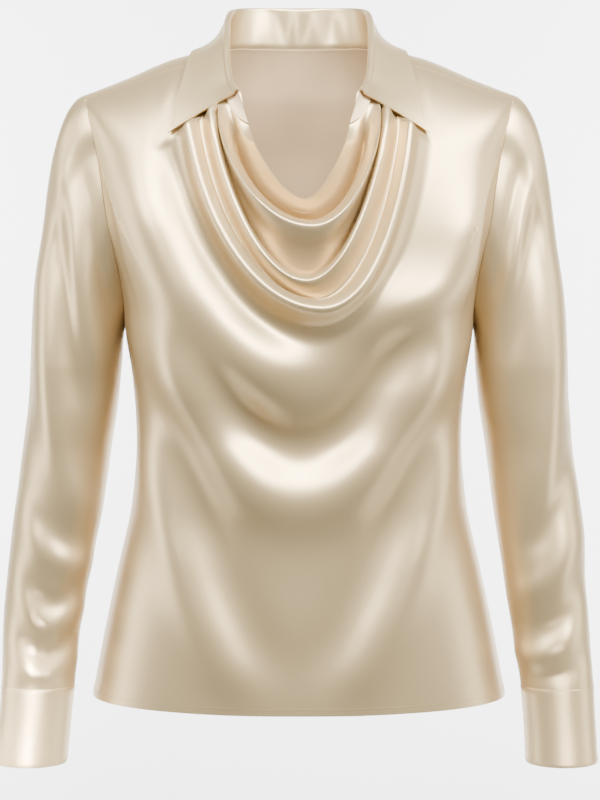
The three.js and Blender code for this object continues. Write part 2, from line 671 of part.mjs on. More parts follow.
// The largest folds on the front of each sleeve.
const SLEEVE_FOLDS = {
  left: table(FOLD_COLUMNS, [
    [[[-236, -170], [-236, -260], [-236, -349], [-200, -436]], 16, 4, 5, 4, 0.3, 0.1],
    [[[-235, -461], [-221, -474], [-207, -477], [-193, -472]], 14, 4, 4, 4, 0.3, 0.2],
    [[[-259, -489], [-244, -535], [-226, -533], [-203, -483]], 13, 4, 4, 4, 0.2, 0.2],
  ]),
  right: table(FOLD_COLUMNS, [
    [[[218, -139], [212, -180], [206, -230], [192, -289]], 13, -2, -3, -3, 0.3, 0.3],
    [[[235, -143], [242, -238], [237, -336], [210, -428]], 15, 4, 4, 4, 0.3, 0.2],
    [[[265, -428], [254, -465], [232, -493], [201, -509]], 16, 5, 5, 5, 0.25, 0.25],
    [[[199, -514], [209, -537], [223, -542], [240, -529]], 12, -4, -4, -4, 0.2, 0.3],
  ]),
};
const sleeveBells = { left: SLEEVE_FOLDS.left.flatMap(bellsOf), right: SLEEVE_FOLDS.right.flatMap(bellsOf) };

const sleeveAt = through(SLEEVE, "z");
const capAt = through(CAP, "turn");

function armOval(side, turn, z) {
  const oval = sleeveAt(z);
  const angle = (turn * Math.PI) / 2;
  const middle = side < 0 ? oval.left : oval.right;
  return vector(side * (middle + oval.half * Math.cos(angle)), oval.y - oval.deep * Math.sin(angle), z);
}

// How far round the arm each point of the armhole is, in quarter turns.
function turnsOf(points, from, to) {
  const along = [0];
  for (let i = 1; i < points.length; i += 1) along.push(along[i - 1] + points[i].distanceTo(points[i - 1]));
  return along.map((a) => THREE.MathUtils.lerp(from, to, a / along[along.length - 1]));
}

function sleeve(side, frontArmhole, backArmhole) {
  const front = frontArmhole.map(({ p }) => p);
  const back = backArmhole.map(({ p }) => p).reverse();
  const ring = [...front, ...back.slice(1, -1)];
  const turns = [...turnsOf(front, 0, 2), ...turnsOf(back, 2, 4).slice(1, -1)];
  const closed = [ring[ring.length - 1], ...ring, ring[0]].map((p) => ({ p }));
  const cut = cutEdge(closed, side, ARMHOLE_CENTRE, ARM_MIDDLE);
  const seam = cut.slice(1, -1);
  const rings = [seam.map(({ p, back: drawn }) => p.clone().add(drawn))];
  for (const t of steps(SLEEVE_CAP_STEPS).slice(1)) {
    rings.push(
      seam.map(({ p, out, back: drawn }, j) => {
        const cap = capAt(turns[j]);
        const rise = THREE.MathUtils.degToRad(cap.rise);
        const leave = drawn.clone().normalize().multiplyScalar(Math.cos(rise));
        leave.addScaledVector(out, Math.sin(rise));
        leave.z -= cap.drop;
        leave.multiplyScalar(cap.reach);
        const end = armOval(side, turns[j], BICEPS);
        const arrive = vector(side * 0.08, 0, -1).multiplyScalar(cap.arrive);
        const s = t ** 0.9;
        return vector(0, 0, 0)
          .addScaledVector(p, 2 * s ** 3 - 3 * s ** 2 + 1)
          .addScaledVector(leave, s ** 3 - 2 * s ** 2 + s)
          .addScaledVector(end, 3 * s ** 2 - 2 * s ** 3)
          .addScaledVector(arrive, s ** 3 - s ** 2);
      }),
    );
  }
  for (const t of steps(SLEEVE_STEPS).slice(1)) {
    const z = THREE.MathUtils.lerp(BICEPS, WRIST, t);
    rings.push(turns.map((turn) => armOval(side, turn, z)));
  }
  const directions = gridDirections(rings, true);
  const flip = side < 0 ? 1 : -1;
  const bells = side < 0 ? sleeveBells.left : sleeveBells.right;
  const folded = rings.map((row, i) =>
    row.map((p, j) => {
      if (i === 0) return p;
      const inFront = smooth(Math.sin((turns[j] * Math.PI) / 2), -0.35, 0.25);
      const free = smooth(p.distanceTo(rings[0][j]), 0, 30) * smooth(p.z, WRIST, WRIST + 14);
      const height = flip * foldHeight(bells, p.x, p.z) * inFront * free;
      return p.clone().addScaledVector(directions[i][j].out, height);
    }),
  );
  const outs = seam.map(({ out }) => out);
  if (side > 0) {
    folded.forEach((row) => row.reverse());
    outs.reverse();
  }
  const edgeOut = (i, j) => (i === 0 ? outs[j] : null);
  return wall(folded, CLOTH, { around: true, edgeOut });
}

// The cuffs: straight bands, closed all round.
const CUFF = [
  { z: WRIST - SEAM_GAP, left: 247, right: 244.5, y: -25, half: 34.8, deep: 35.2 },
  { z: -625, left: 250.5, right: 247, y: -27.5, half: 34.2, deep: 35 },
  { z: -660, left: 254, right: 249, y: -30, half: 34.4, deep: 35.2 },
];
const CUFF_AROUND = 26;
const CUFF_STEPS = 3;
const cuffAt = through(CUFF, "z");

function cuff(side) {
  const rows = steps(CUFF_STEPS).map((t) => {
    const z = THREE.MathUtils.lerp(CUFF[0].z, CUFF[CUFF.length - 1].z, t);
    const oval = cuffAt(z);
    const middle = side < 0 ? oval.left : oval.right;
    return Array.from({ length: CUFF_AROUND }, (_, j) => {
      const angle = (-side * j * 2 * Math.PI) / CUFF_AROUND;
      return vector(side * (middle + oval.half * Math.cos(angle)), oval.y - oval.deep * Math.sin(angle), z);
    });
  });
  return wall(rows, CUFF_CLOTH, { around: true });
}

// The collar, folded once. at: the place along the neck seam, as in NECK.
// x, y and z: the top of its fold. edge and foot: how far out and how high its outer edge lies over the body.
// lift: how clear of the body that edge stands.
// bulge: how far the leaf swells out between the two, or in where it flares.
const COLLAR = [
  { at: 0, x: 0, y: 67, z: 55, edge: 0, foot: 7, lift: 4.5, bulge: 1 },
  { at: 1, x: 29, y: 64, z: 54.9, edge: 36, foot: 6.4, lift: 4.5, bulge: 0.5 },
  { at: 2, x: 54, y: 50, z: 53.8, edge: 67, foot: 4.5, lift: 4.5, bulge: -1.5 },
  { at: 2.8, x: 64.5, y: 31, z: 50.5, edge: 84, foot: 4, lift: 4, bulge: -3 },
  { at: 4, x: 67.5, y: 5, z: 38.5, edge: 98, foot: 7.8, lift: 3.5, bulge: -4 },
  { at: 5, x: 67.5, y: -20, z: 25, edge: 102.5, foot: -0.4, lift: 3.5, bulge: -3 },
  { at: 7, x: 66, y: -50, z: -3, edge: 108.5, foot: -27.5, lift: 4.5, bulge: -0.5 },
  { at: 8.5, x: 62, y: -68, z: -21, edge: 114.5, foot: -49, lift: 5, bulge: 1 },
  { at: 10, x: 56.5, y: -80, z: -29, edge: 119.5, foot: -70, lift: 5, bulge: 1.5 },
];
const COLLAR_FOLD = 3.2;
const COLLAR_OVER_SHOULDER = 4;
const COLLAR_LEAF_STEPS = 4;
const COLLAR_STAND_STEPS = 3;
const collarAt = through(COLLAR, "at");

function collar(frontNeck, backNeck) {
  const station = (side, { p, at }) => ({ side, p, at });
  const line = [
    ...frontNeck.right.map((end) => station(1, end)),
    ...backNeck.slice(1).map((end) => station(1, end)),
    ...backNeck.slice(1, -1).reverse().map(({ p, at }) => station(-1, { p: vector(-p.x, p.y, p.z), at })),
    ...[...frontNeck.left].reverse().map((end) => station(-1, end)),
  ];
  const cut = cutEdge(line, 1, NECK_CENTRE, NECK_ABOVE);
  const columns = line.map(({ side, at }, k) => {
    const shape = collarAt(at);
    const foot = cut[k].p.clone().add(cut[k].back);
    const fold = vector(side * shape.x, shape.y, shape.z);
    const drop = Math.max(0, ridgeAt(shape.edge).z - shape.foot);
    const root = (at < COLLAR_OVER_SHOULDER ? 1 : -1) * Math.sqrt(drop);
    const edge = bodyPoint(side * shape.edge, root);
    edge.addScaledVector(bodyOut(side * shape.edge, root), shape.lift);
    const over = edge.clone().sub(fold).setZ(0).normalize();
    const at2 = (sideways, down) =>
      fold.clone().addScaledVector(over, sideways * COLLAR_FOLD).add(vector(0, 0, -down * COLLAR_FOLD));
    const inner = at2(-1, 1);
    const outer = at2(1, 1);
    const across = line[Math.min(line.length - 1, k + 1)].p.clone().sub(line[Math.max(0, k - 1)].p);
    const bulge = edge.clone().sub(outer).cross(across).normalize();
    const leaf = steps(COLLAR_LEAF_STEPS).map((t) =>
      outer.clone().lerp(edge, t).addScaledVector(bulge, shape.bulge * Math.sin(Math.PI * t)),
    );
    const stand = steps(COLLAR_STAND_STEPS).map((t) => foot.clone().lerp(inner, t));
    return [...stand, at2(-0.7, 0.3), at2(0, 0), at2(0.7, 0.3), ...leaf];
  });
  const rows = columns[0].map((_, i) => columns.map((column) => column[i]));
  const edgeOut = (i, k) => (i === 0 ? cut[k].out.clone().negate() : null);
  return wall(rows, COLLAR_CLOTH, { edgeOut });
}

const satin = new THREE.MeshStandardMaterial({ color: 0xd9c9ae, roughness: 0.38, metalness: 0.15 });

function piece(name, geometry) {
  const mesh = new THREE.Mesh(geometry, satin.clone());
  mesh.name = name;
  return mesh;
}

const front = frontPanel();
const back = backPanel();
const blouse = new THREE.Group();
blouse.add(piece("front", front.geometry));
blouse.add(piece("back", back.geometry));
blouse.add(piece("collar", collar(front.neck, back.neck)));
blouse.add(piece("sleeve_left", sleeve(-1, front.armhole.left, back.armhole.left)));
blouse.add(piece("sleeve_right", sleeve(1, front.armhole.right, back.armhole.right)));
blouse.add(piece("cuff_left", cuff(-1)));
blouse.add(piece("cuff_right", cuff(1)));

export default blouse;
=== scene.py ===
import math
from types import SimpleNamespace

import bpy
import numpy as np
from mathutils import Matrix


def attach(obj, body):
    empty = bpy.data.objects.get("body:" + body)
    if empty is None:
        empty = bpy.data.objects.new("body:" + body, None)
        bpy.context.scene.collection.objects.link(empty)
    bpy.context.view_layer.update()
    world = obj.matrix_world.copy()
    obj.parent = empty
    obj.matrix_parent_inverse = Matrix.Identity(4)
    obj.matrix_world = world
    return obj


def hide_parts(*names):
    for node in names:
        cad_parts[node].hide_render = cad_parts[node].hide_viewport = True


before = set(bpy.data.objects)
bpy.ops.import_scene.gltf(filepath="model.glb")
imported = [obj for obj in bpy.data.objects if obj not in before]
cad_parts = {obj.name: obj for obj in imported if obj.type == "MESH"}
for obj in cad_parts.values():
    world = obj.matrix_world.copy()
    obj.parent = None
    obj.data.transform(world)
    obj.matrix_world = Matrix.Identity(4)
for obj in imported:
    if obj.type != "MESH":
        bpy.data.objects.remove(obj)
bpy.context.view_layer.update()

# The front: one bias-cut satin panel, sewn to the back at the shoulders and the sides. It hangs in a cowl
# from the collar's two ends: its rows follow the swags like chains from one edge to the other. The form is
# that of a blouse filled out. Sizes are millimetres: z up from the base of the neck, -y forward.


class Socket:
    """A node's output, on which + - and * add the Math nodes that they name."""

    def __init__(self, material, output):
        self.material = material
        self.output = output

    def math(self, operation, *values):
        return self.material.node("ShaderNodeMath", {"operation": operation}, *values)

    def __add__(self, other):
        return self.math("ADD", self, other)

    __radd__ = __add__

    def __sub__(self, other):
        return self.math("SUBTRACT", self, other)

    def __rsub__(self, other):
        return self.math("SUBTRACT", other, self)

    def __mul__(self, other):
        return self.math("MULTIPLY", self, other)

    __rmul__ = __mul__


class Finish:
    """A node material of one Principled shader, built up from sockets."""

    def __init__(self, name):
        self.data = bpy.data.materials.new(name)
        self.data.use_nodes = True
        self.tree = self.data.node_tree
        self.shader = self.tree.nodes["Principled BSDF"]

    def node(self, kind, settings, *values, output=0, **named):
        """A node of that kind, its settings made first, then its inputs in order or by name."""
        made = self.tree.nodes.new(kind)
        for key, value in settings.items():
            setattr(made, key, value)
        for key, value in list(enumerate(values)) + [(k.replace("_", " "), v) for k, v in named.items()]:
            if isinstance(value, Socket):
                self.tree.links.new(value.output, made.inputs[key])
            else:
                made.inputs[key].default_value = value
        return Socket(self, made.outputs[output])

    def set(self, **values):
        for key, value in values.items():
            entry = self.shader.inputs[key.replace("_", " ")]
            if isinstance(value, Socket):
                self.tree.links.new(value.output, entry)
            else:
                entry.default_value = value
        return self


# One champagne polyester satin makes every piece. Its threads run along the piece's own UV map.
SATIN_LIGHT = (0.58, 0.435, 0.235, 1)
SATIN_DEEP = (0.51, 0.375, 0.183, 1)
THREAD_COLOUR = (0.36, 0.25, 0.13, 1)
WRONG_COLOUR = (0.6, 0.43, 0.24, 1)
# How often the slow change of tone, the slubs and the weave repeat in a metre, and how high they stand.
SLOW_SCALE, SLUB_SCALE, WEAVE_SCALE = 9.0, (260.0, 1500.0, 1.0), (1300.0, 420.0, 1.0)
SLUB_HEIGHT, SLUB_STRENGTH = 0.0004, 0.10
SATIN_ROUGHNESS, SATIN_METAL, SATIN_GRAIN = 0.36, 0.7, 0.4


def satin(name):
    """Satin: a slow change of tone, short crosswise slubs and a fine weave, with a soft sheen on top.

    Its tone is half + (slow - half) / 2 + (slub - half) * 0.55, from its deep colour at 0 to its light one.
    """
    finish = Finish(name)
    flat = finish.node("ShaderNodeTexCoord", {}, output="UV")
    place = finish.node("ShaderNodeTexCoord", {}, output="Object")
    slow = finish.node("ShaderNodeTexNoise", {}, Vector=place, Scale=SLOW_SCALE, Detail=2.0)
    stretched = finish.node("ShaderNodeMapping", {}, Vector=flat, Scale=SLUB_SCALE)
    slub = finish.node("ShaderNodeTexNoise", {}, Vector=stretched, Scale=1.0, Detail=3.0, Roughness=0.6)
    crossed = finish.node("ShaderNodeMapping", {}, Vector=flat, Scale=WEAVE_SCALE)
    weave = finish.node("ShaderNodeTexNoise", {}, Vector=crossed, Scale=1.0, Detail=2.0)
    tone = 0.5 + (slow - 0.5) * 0.5 + (slub - 0.5) * 0.55
    colour = finish.node("ShaderNodeMix", {"data_type": "RGBA"}, output=2)
    mix = colour.output.node
    finish.tree.links.new(tone.output, mix.inputs[0])
    mix.inputs[6].default_value = SATIN_DEEP
    mix.inputs[7].default_value = SATIN_LIGHT
    height = slub * 0.6 + weave * 0.4
    bump = finish.node("ShaderNodeBump", {}, Strength=SLUB_STRENGTH, Distance=SLUB_HEIGHT, Height=height)
    rough = SATIN_ROUGHNESS + (slub - 0.5) * 0.12 + (slow - 0.5) * 0.04
    finish.set(Base_Color=colour, Roughness=rough, Normal=bump)
    return finish.set(Metallic=SATIN_METAL, Anisotropic=SATIN_GRAIN).data


SATIN = satin("champagne_satin")
THREAD = Finish("thread").set(Base_Color=THREAD_COLOUR, Roughness=0.45).data
WRONG_SIDE = Finish("wrong_side").set(Base_Color=WRONG_COLOUR, Roughness=0.55, Metallic=0.2).data


class Table:
    """Rows of named sizes, read as a smooth curve along the first column.

    Between two rows it is a cubic that leaves each row at the harmonic mean of the slopes on its two
    sides, or level at a peak, so that it never swings past a row.
    """

    def __init__(self, names, *rows):
        self.names = names.split()
        self.values = np.array(sorted(rows), float)
        slope = np.diff(self.values, axis=0) / np.diff(self.values[:, :1], axis=0)
        product = slope[:-1] * slope[1:]
        total = np.where(product > 0, slope[:-1] + slope[1:], 1)
        inside = np.where(product > 0, 2 * product / total, 0)
        self.slopes = np.vstack([slope[:1], inside, slope[-1:]])

    def __call__(self, where):
        at = self.values[:, 0]
        where = np.clip(np.asarray(where, float), at[0], at[-1])
        i = np.clip(np.searchsorted(at, where, side="right") - 1, 0, len(at) - 2)
        width = (at[i + 1] - at[i])[..., None]
        s = (where[..., None] - at[i][..., None]) / width
        here, there = self.values[i], self.values[i + 1]
        leave, arrive = self.slopes[i] * width, self.slopes[i + 1] * width
        curve = here * (2 * s**3 - 3 * s**2 + 1) + leave * (s**3 - 2 * s**2 + s)
        curve = curve + there * (3 * s**2 - 2 * s**3) + arrive * (s**3 - s**2)
        return SimpleNamespace(**{name: curve[..., k] for k, name in enumerate(self.names)})


def ramp(value, low, high):
    """0 below low and 1 above high, with an even S between them."""
    t = np.clip((value - low) / (high - low), 0, 1)
    return t * t * (3 - 2 * t)


def unit(vectors):
    """Each vector at length 1."""
    return vectors / np.maximum(np.linalg.norm(vectors, axis=-1, keepdims=True), 1e-12)


def points(x, y, z):
    """Three arrays, or numbers, as one array of points."""
    return np.stack(np.broadcast_arrays(x, y, z), axis=-1).astype(float)


def mirrored(right):
    """The left half joined to a right half whose last column is the middle."""
    return np.concatenate([right, right[..., -2::-1, :] * [-1, 1, 1]], axis=-2)


def path_length(path):
    """The distance along a path of points, at each of them."""
    return np.concatenate([[0], np.linalg.norm(np.diff(path, axis=0), axis=1).cumsum()])


def at_distance(where, along, values):
    """Points or ways along a path, read at other distances."""
    return np.stack([np.interp(where, along, values[:, k]) for k in range(3)], axis=-1)


def listed(names, *rows):
    """Rows of named sizes, one for each fold."""
    return [SimpleNamespace(**dict(zip(names.split(), row))) for row in rows]


# The height of the top of the shoulder, out from the middle. Inside the neck it is only a guide.
SHOULDER_TOP = Table(
    "x z",
    (0, 66), (30, 60), (50, 45.5), (60, 35.5), (70, 24.8), (78, 17),
    (86, 12.3), (98, 8.2), (120, 2), (165, -17), (203, -31.5),
)
# Half the width of the body, and how far its front and back stand out, at each height.
GIRTH = Table(
    "z half front back",
    (-33, 204, 97, 84),
    (-64, 201, 100, 92),
    (-89, 196, 104, 98),
    (-122, 193.7, 109, 102),
    (-150, 190, 113, 105),
    (-178, 180.3, 117, 107),
    (-206, 171, 120, 107),
    (-234, 165.5, 121.5, 105),
    (-249, 164.5, 122, 104),
    (-300, 157, 119, 96),
    (-357, 153.5, 110, 85),
    (-415, 158.6, 110, 94),
    (-472, 171, 114, 107),
    (-530, 183.5, 120, 114),
    (-600, 197, 125, 119),
)
FRONT_SQUARE, BACK_SQUARE = 2.4, 2.3
SHOULDER_ROUND, SHOULDER_SLOPE = 32, 0.5
SHOULDER_TIP, UNDERARM, HEM = 200.5, -249, -598


def depth(face, x, z):
    """How far forward (face -1) or back (face 1) the cloth is, at a place seen from the front.

    Each level is a squared oval. Under the shoulder it is narrowed to a rounded ridge: the two depths are
    joined as 1 / (1 / oval**4 + 1 / ridge**4) ** 0.25.
    """
    girth = GIRTH(z)
    forward = face < 0
    square = np.where(forward, FRONT_SQUARE, BACK_SQUARE)
    reach = np.where(forward, girth.front, girth.back)
    oval = reach * np.maximum(0, 1 - (np.abs(x) / girth.half) ** square) ** (1 / square)
    drop = np.maximum(0, SHOULDER_TOP(np.abs(x)).z - z)
    ridge = np.sqrt(2 * SHOULDER_ROUND * drop + SHOULDER_SLOPE * drop**2)
    return face * oval * ridge / np.maximum((oval**4 + ridge**4) ** 0.25, 1e-9)


def body_point(x, root):
    """A point of the body from x and the signed root of its drop below the shoulder's top.

    The root is negative in front of the shoulder and positive behind it, so the cloth is smooth over it.
    """
    z = SHOULDER_TOP(np.abs(x)).z - root**2
    return points(x, depth(np.where(root < 0, -1, 1), x, z), z)


def body_out(x, root, step=0.5, root_step=0.12):
    """The direction straight out of the body at such a point, from two small steps over it."""
    across = body_point(x + step, root) - body_point(x - step, root)
    along = body_point(x, root + root_step) - body_point(x, root - root_step)
    return unit(np.cross(across, along))


# The neck seam, from the middle of the back (0) past the shoulder seam (5) to the collar's front end (10).
NECK = Table(
    "at x root",
    (0, 0, 7.1), (1, 30, 6.65), (2, 56, 4.95), (3, 72, 2.8), (4, 78, 0), (5, 77.5, -3.4),
    (6, 76, -5.33), (7, 71, -7.07), (8, 62, -8.8), (9, 54.5, -9.8), (10, 46, -10.45),
)
NECK_WIDTH = 77.5
# How far in front of the shoulder's top the shoulder seam drops.
SHOULDER_SEAM = Table("x drop", (NECK_WIDTH, 11.56), (120, 9.5), (165, 7.5), (SHOULDER_TIP, 2.6))
# The armhole as seen from the front, down to the point under the arm.
UNDERARM_X = 164.5
ARMHOLE = Table(
    "z x",
    (-33.2, SHOULDER_TIP), (-64, 193.5), (-89, 188), (-122, 182.6), (-150, 178.4),
    (-178, 172), (-206, 167), (-234, 164.2), (UNDERARM, UNDERARM_X),
)
# Points in the garment that its seams face away from, and points in the middle of each piece.
NECK_CENTRE, NECK_ABOVE = np.array([0, -10, -60]), np.array([0, -20, 60])
SHOULDER_CENTRE, ARMHOLE_CENTRE = np.array([60, -6, -140]), np.array([150, 0, -141])
FRONT_MIDDLE, BACK_MIDDLE = np.array([0, -110, -330]), np.array([0, 100, -330])
ARM_MIDDLE = np.array([260, -10, -350])
# Half of the hair's breadth that is left between two pieces at a seam, and how far each edge rolls in there.
SEAM_GAP = 0.1
EDGE_ROLL, EDGE_ROLL_WIDTH = 0.5, 1.3


def edge_x(z):
    """How far out the front and the back reach at each height: to the armhole, then to the side seam."""
    return np.where(z > UNDERARM, ARMHOLE(z).x, GIRTH(z).half)


def rolled_in(from_edge):
    """How far the cloth sinks at such a distance from a seam."""
    return EDGE_ROLL * np.exp(-((from_edge / EDGE_ROLL_WIDTH) ** 2))


def neck_line(start, end, count):
    """The neck seam between two of its places, as x and root."""
    at = np.linspace(start, end, count)
    place = NECK(at)
    return place.x, place.root


def shoulder_line(count):
    """The shoulder seam from the neck to the armhole, as x and root."""
    x = np.linspace(NECK_WIDTH, SHOULDER_TIP, count)
    return x, -np.sqrt(SHOULDER_SEAM(x).drop)


def armhole_line(face, count):
    """The front (-1) or the back (1) half of the armhole, from the shoulder seam down, as x and root."""
    start = -math.sqrt(SHOULDER_SEAM(SHOULDER_TIP).drop)
    end = face * math.sqrt(SHOULDER_TOP(UNDERARM_X).z - UNDERARM)
    root = np.linspace(start, end, count)
    x = np.full(count, SHOULDER_TIP)
    for _ in range(5):
        x = ARMHOLE(SHOULDER_TOP(x).z - root**2).x
    return x, root


def side_line(face, count):
    """The side seam from under the arm to the hem, as x and root."""
    z = np.linspace(UNDERARM, HEM, count)
    x = GIRTH(z).half
    return x, face * np.sqrt(SHOULDER_TOP(x).z - z)


def cut_edge(line, side, centre, middle):
    """A piece's edge along a seam: its points, the shared way out of the cloth, and the way to its inside.

    The way out is away from a centre in the garment, or straight sideways with none. The way inside lies
    across the seam and the way out, towards a point in the middle of the piece.
    """
    mirror = np.array([side, 1, 1])
    p = line if isinstance(line, np.ndarray) else body_point(side * line[0], line[1])
    out = np.broadcast_to([side, 0, 0], p.shape) if centre is None else unit(p - mirror * centre)
    inside = unit(np.cross(out, np.gradient(p, axis=0)))
    inside = inside * np.sign(np.sum(inside * (mirror * middle - p), axis=-1, keepdims=True))
    return SimpleNamespace(p=p, out=out.astype(float), inside=inside * SEAM_GAP)


def joined(*edges):
    """Edges end to end, as a function of the distance along them, with the distances of the corners."""
    p, out, inside, corners = edges[0].p, edges[0].out, edges[0].inside, []
    for edge in edges[1:]:
        corners.append(len(p) - 1)
        corner = inside[-1:] + edge.inside[:1]
        p = np.vstack([p, edge.p[1:]])
        out = np.vstack([out, edge.out[1:]])
        inside = np.vstack([inside[:-1], corner, edge.inside[1:]])
    along = path_length(p)

    def at(distance):
        place, way, inwards = (at_distance(distance, along, value) for value in (p, out, inside))
        return SimpleNamespace(p=place, out=unit(way), inside=inwards)

    return SimpleNamespace(at=at, corners=[along[i] for i in corners], length=along[-1])


def snapped(distances, corners):
    """The distances, with the nearest one moved onto each corner."""
    distances = distances.copy()
    for corner in corners:
        distances[np.argmin(np.abs(distances - corner))] = corner
    return distances


def grid_directions(grid, around=False):
    """The ways out of a grid of points and down its columns, from each point's neighbours."""
    if around:
        across = np.roll(grid, -1, axis=1) - np.roll(grid, 1, axis=1)
    else:
        across = np.gradient(grid, axis=1)
    down = np.gradient(grid, axis=0)
    return unit(np.cross(down, across)), unit(down)


def smooth_mesh(name, vertices, faces, *finishes):
    """A mesh in metres, smooth all over, with its materials."""
    mesh = bpy.data.meshes.new(name)
    mesh.from_pydata(vertices, [], faces)
    mesh.polygons.foreach_set("use_smooth", np.ones(len(faces), bool))
    for finish in finishes:
        mesh.materials.append(finish)
    return mesh


def placed(name, data):
    """A new object in the scene."""
    made = bpy.data.objects.new(name, data)
    bpy.context.collection.objects.link(made)
    return made


SHARP_FOLD = math.radians(50)


def cloth(name, grid, thick, around=False, edge_out=None):
    """A sheet of cloth, as a closed mesh: a grid of points in millimetres, and the same grid set behind it.

    The two are joined along the free edges. edge_out replaces the way back at the edges, as (way out,
    rows, columns) for each seam. The UV map gives the distances across and down the cloth in metres.
    """
    out, _ = grid_directions(grid, around)
    for way, rows, columns in edge_out or []:
        out[rows, columns] = way
    height, count = grid.shape[:2]
    behind = grid - out * thick
    vertices = np.concatenate([grid.reshape(-1, 3), behind.reshape(-1, 3)]) / 1000
    shift = height * count
    face = np.arange(shift).reshape(height, count)
    back = face + shift
    right = np.roll(face, -1, axis=1) if around else face[:, 1:]
    left = face if around else face[:, :-1]

    def quads(a, b, c, d):
        return np.stack([a.ravel(), b.ravel(), c.ravel(), d.ravel()], axis=1)

    faces = [
        quads(left[:-1], left[1:], right[1:], right[:-1]),
        quads(left[:-1] + shift, right[:-1] + shift, right[1:] + shift, left[1:] + shift),
        quads(left[0], right[0], right[0] + shift, left[0] + shift),
        quads(right[-1], left[-1], left[-1] + shift, right[-1] + shift),
    ]
    if not around:
        faces.append(quads(face[1:, 0], face[:-1, 0], back[:-1, 0], back[1:, 0]))
        faces.append(quads(face[:-1, -1], face[1:, -1], back[1:, -1], back[:-1, -1]))
    faces = np.concatenate(faces)
    mesh = smooth_mesh(name, vertices, faces, SATIN, WRONG_SIDE)
    across = np.linalg.norm(np.diff(grid, axis=1, prepend=grid[:, :1]), axis=2).cumsum(axis=1)
    across = across - across[:, count // 2 : count // 2 + 1]
    down = np.linalg.norm(np.diff(grid, axis=0, prepend=grid[:1]), axis=2).cumsum(axis=0)
    flat = np.stack([across, down], axis=-1).reshape(-1, 2) / 1000
    layer = mesh.uv_layers.new(name="cloth")
    layer.data.foreach_set("uv", np.concatenate([flat, flat])[faces.ravel()].ravel())
    mesh.set_sharp_from_angle(angle=SHARP_FOLD)
    wrong = np.zeros(len(faces), int)
    wrong[left[:-1].size : 2 * left[:-1].size] = 1
    mesh.polygons.foreach_set("material_index", wrong)
    return placed(name, mesh)


FRONT_CLOTH = 0.7
# left and right: where a row starts and ends along the edge, from the collar's end. x and z: its lowest
# point. flat: how wide its bottom is. lean and fall: its slope and length at the ends. out: how far the
# cloth stands out. tuck: how far it is pulled down behind the fold below. fade: where it dies at the seams.
SWAGS = Table(
    "row left right x z flat lean fall out tuck fade",
    (1, 0, 0, 5, -131, 0.32, 0.16, 0.5, 10, 0, 25),
    (2, 12, 12, 6, -138, 0.4, 0.12, 0.5, 1, 3, 30),
    (3, 25, 25, 8, -144, 0.48, 0.06, 0.5, -10, 8, 40),
    (4, 38, 38, 11, -149, 0.52, 0.03, 0.52, 8, 0, 55),
    (5, 52, 52, 12, -157, 0.55, 0, 0.55, 22, 0, 70),
    (6, 66, 66, 10, -176, 0.53, 0, 0.52, 7, 2, 80),
    (7, 80, 80, 8, -192, 0.52, 0, 0.5, -3, 8, 80),
    (8, 92, 92, 7, -197, 0.5, 0, 0.52, 4, 1, 95),
    (9, 102, 102, 7, -204, 0.5, 0, 0.52, 15, 0, 90),
    (10, 110, 110, 12, -214, 0.51, 0, 0.52, 3, 7, 85),
    (11, 118, 117, 18, -220, 0.53, 0, 0.54, 9, 1, 80),
    (12, 127, 125, 20, -229, 0.55, 0, 0.55, 19, 0, 80),
    (13, 140, 138, 18, -245, 0.53, 0.01, 0.52, 6, 0, 75),
    (14, 162, 158, 14, -262, 0.5, 0.03, 0.5, 0, 0, 70),
    (15, 205, 200, 1, -288, 0.42, 0.08, 0.45, 0, 0, 60),
    (16, 262, 258, -1, -325, 0.38, 0.14, 0.38, 0, 0, 60),
    (17, 315, 315, -1, -356, 0.36, 0.2, 0.3, 0, 0, 60),
    (18, 365, 365, -1, -388, 0.38, 0.25, 0.28, 0, 0, 60),
    (19, 460, 460, 0, -455, 0.4, 0.3, 0.25, 0, 0, 60),
    (20, 640, 640, 0, -545, 0.4, 0.33, 0.2, 0, 0, 60),
    (21, 822, 822, 0, -600, 0.4, 0.33, 0.2, 0, 0, 60),
)
# Grid rows between one row of the table and the next, and columns on each half.
SWAG_STEPS = (6, 6, 7, 7, 9, 9, 6, 6, 6, 6, 7, 8, 8, 10, 12, 12, 12, 14, 18, 14)
FRONT_HALF = 120
# Where the last columns of a half lie, as shares of a row's length, and how the others are bunched.
FRONT_LAST, FRONT_BUNCHING = (0.985, 0.99, 0.9955, 1), 0.96
# The edge's length in the table, and from where on it is stretched to the real one.
FRONT_EDGE, FRONT_STRETCH = 822, 400
# The top edge is turned to the inside. out and tuck are measured from the edge of the roll.
TURNED_EDGE = Table(
    "step out tuck",
    (0, -10.5, 11), (1, -9.5, 7), (2, -7, 2), (3, -4, -1.2), (4, -1.4, -1.3), (5, 0, 0),
)
TURNED_ROWS = 15
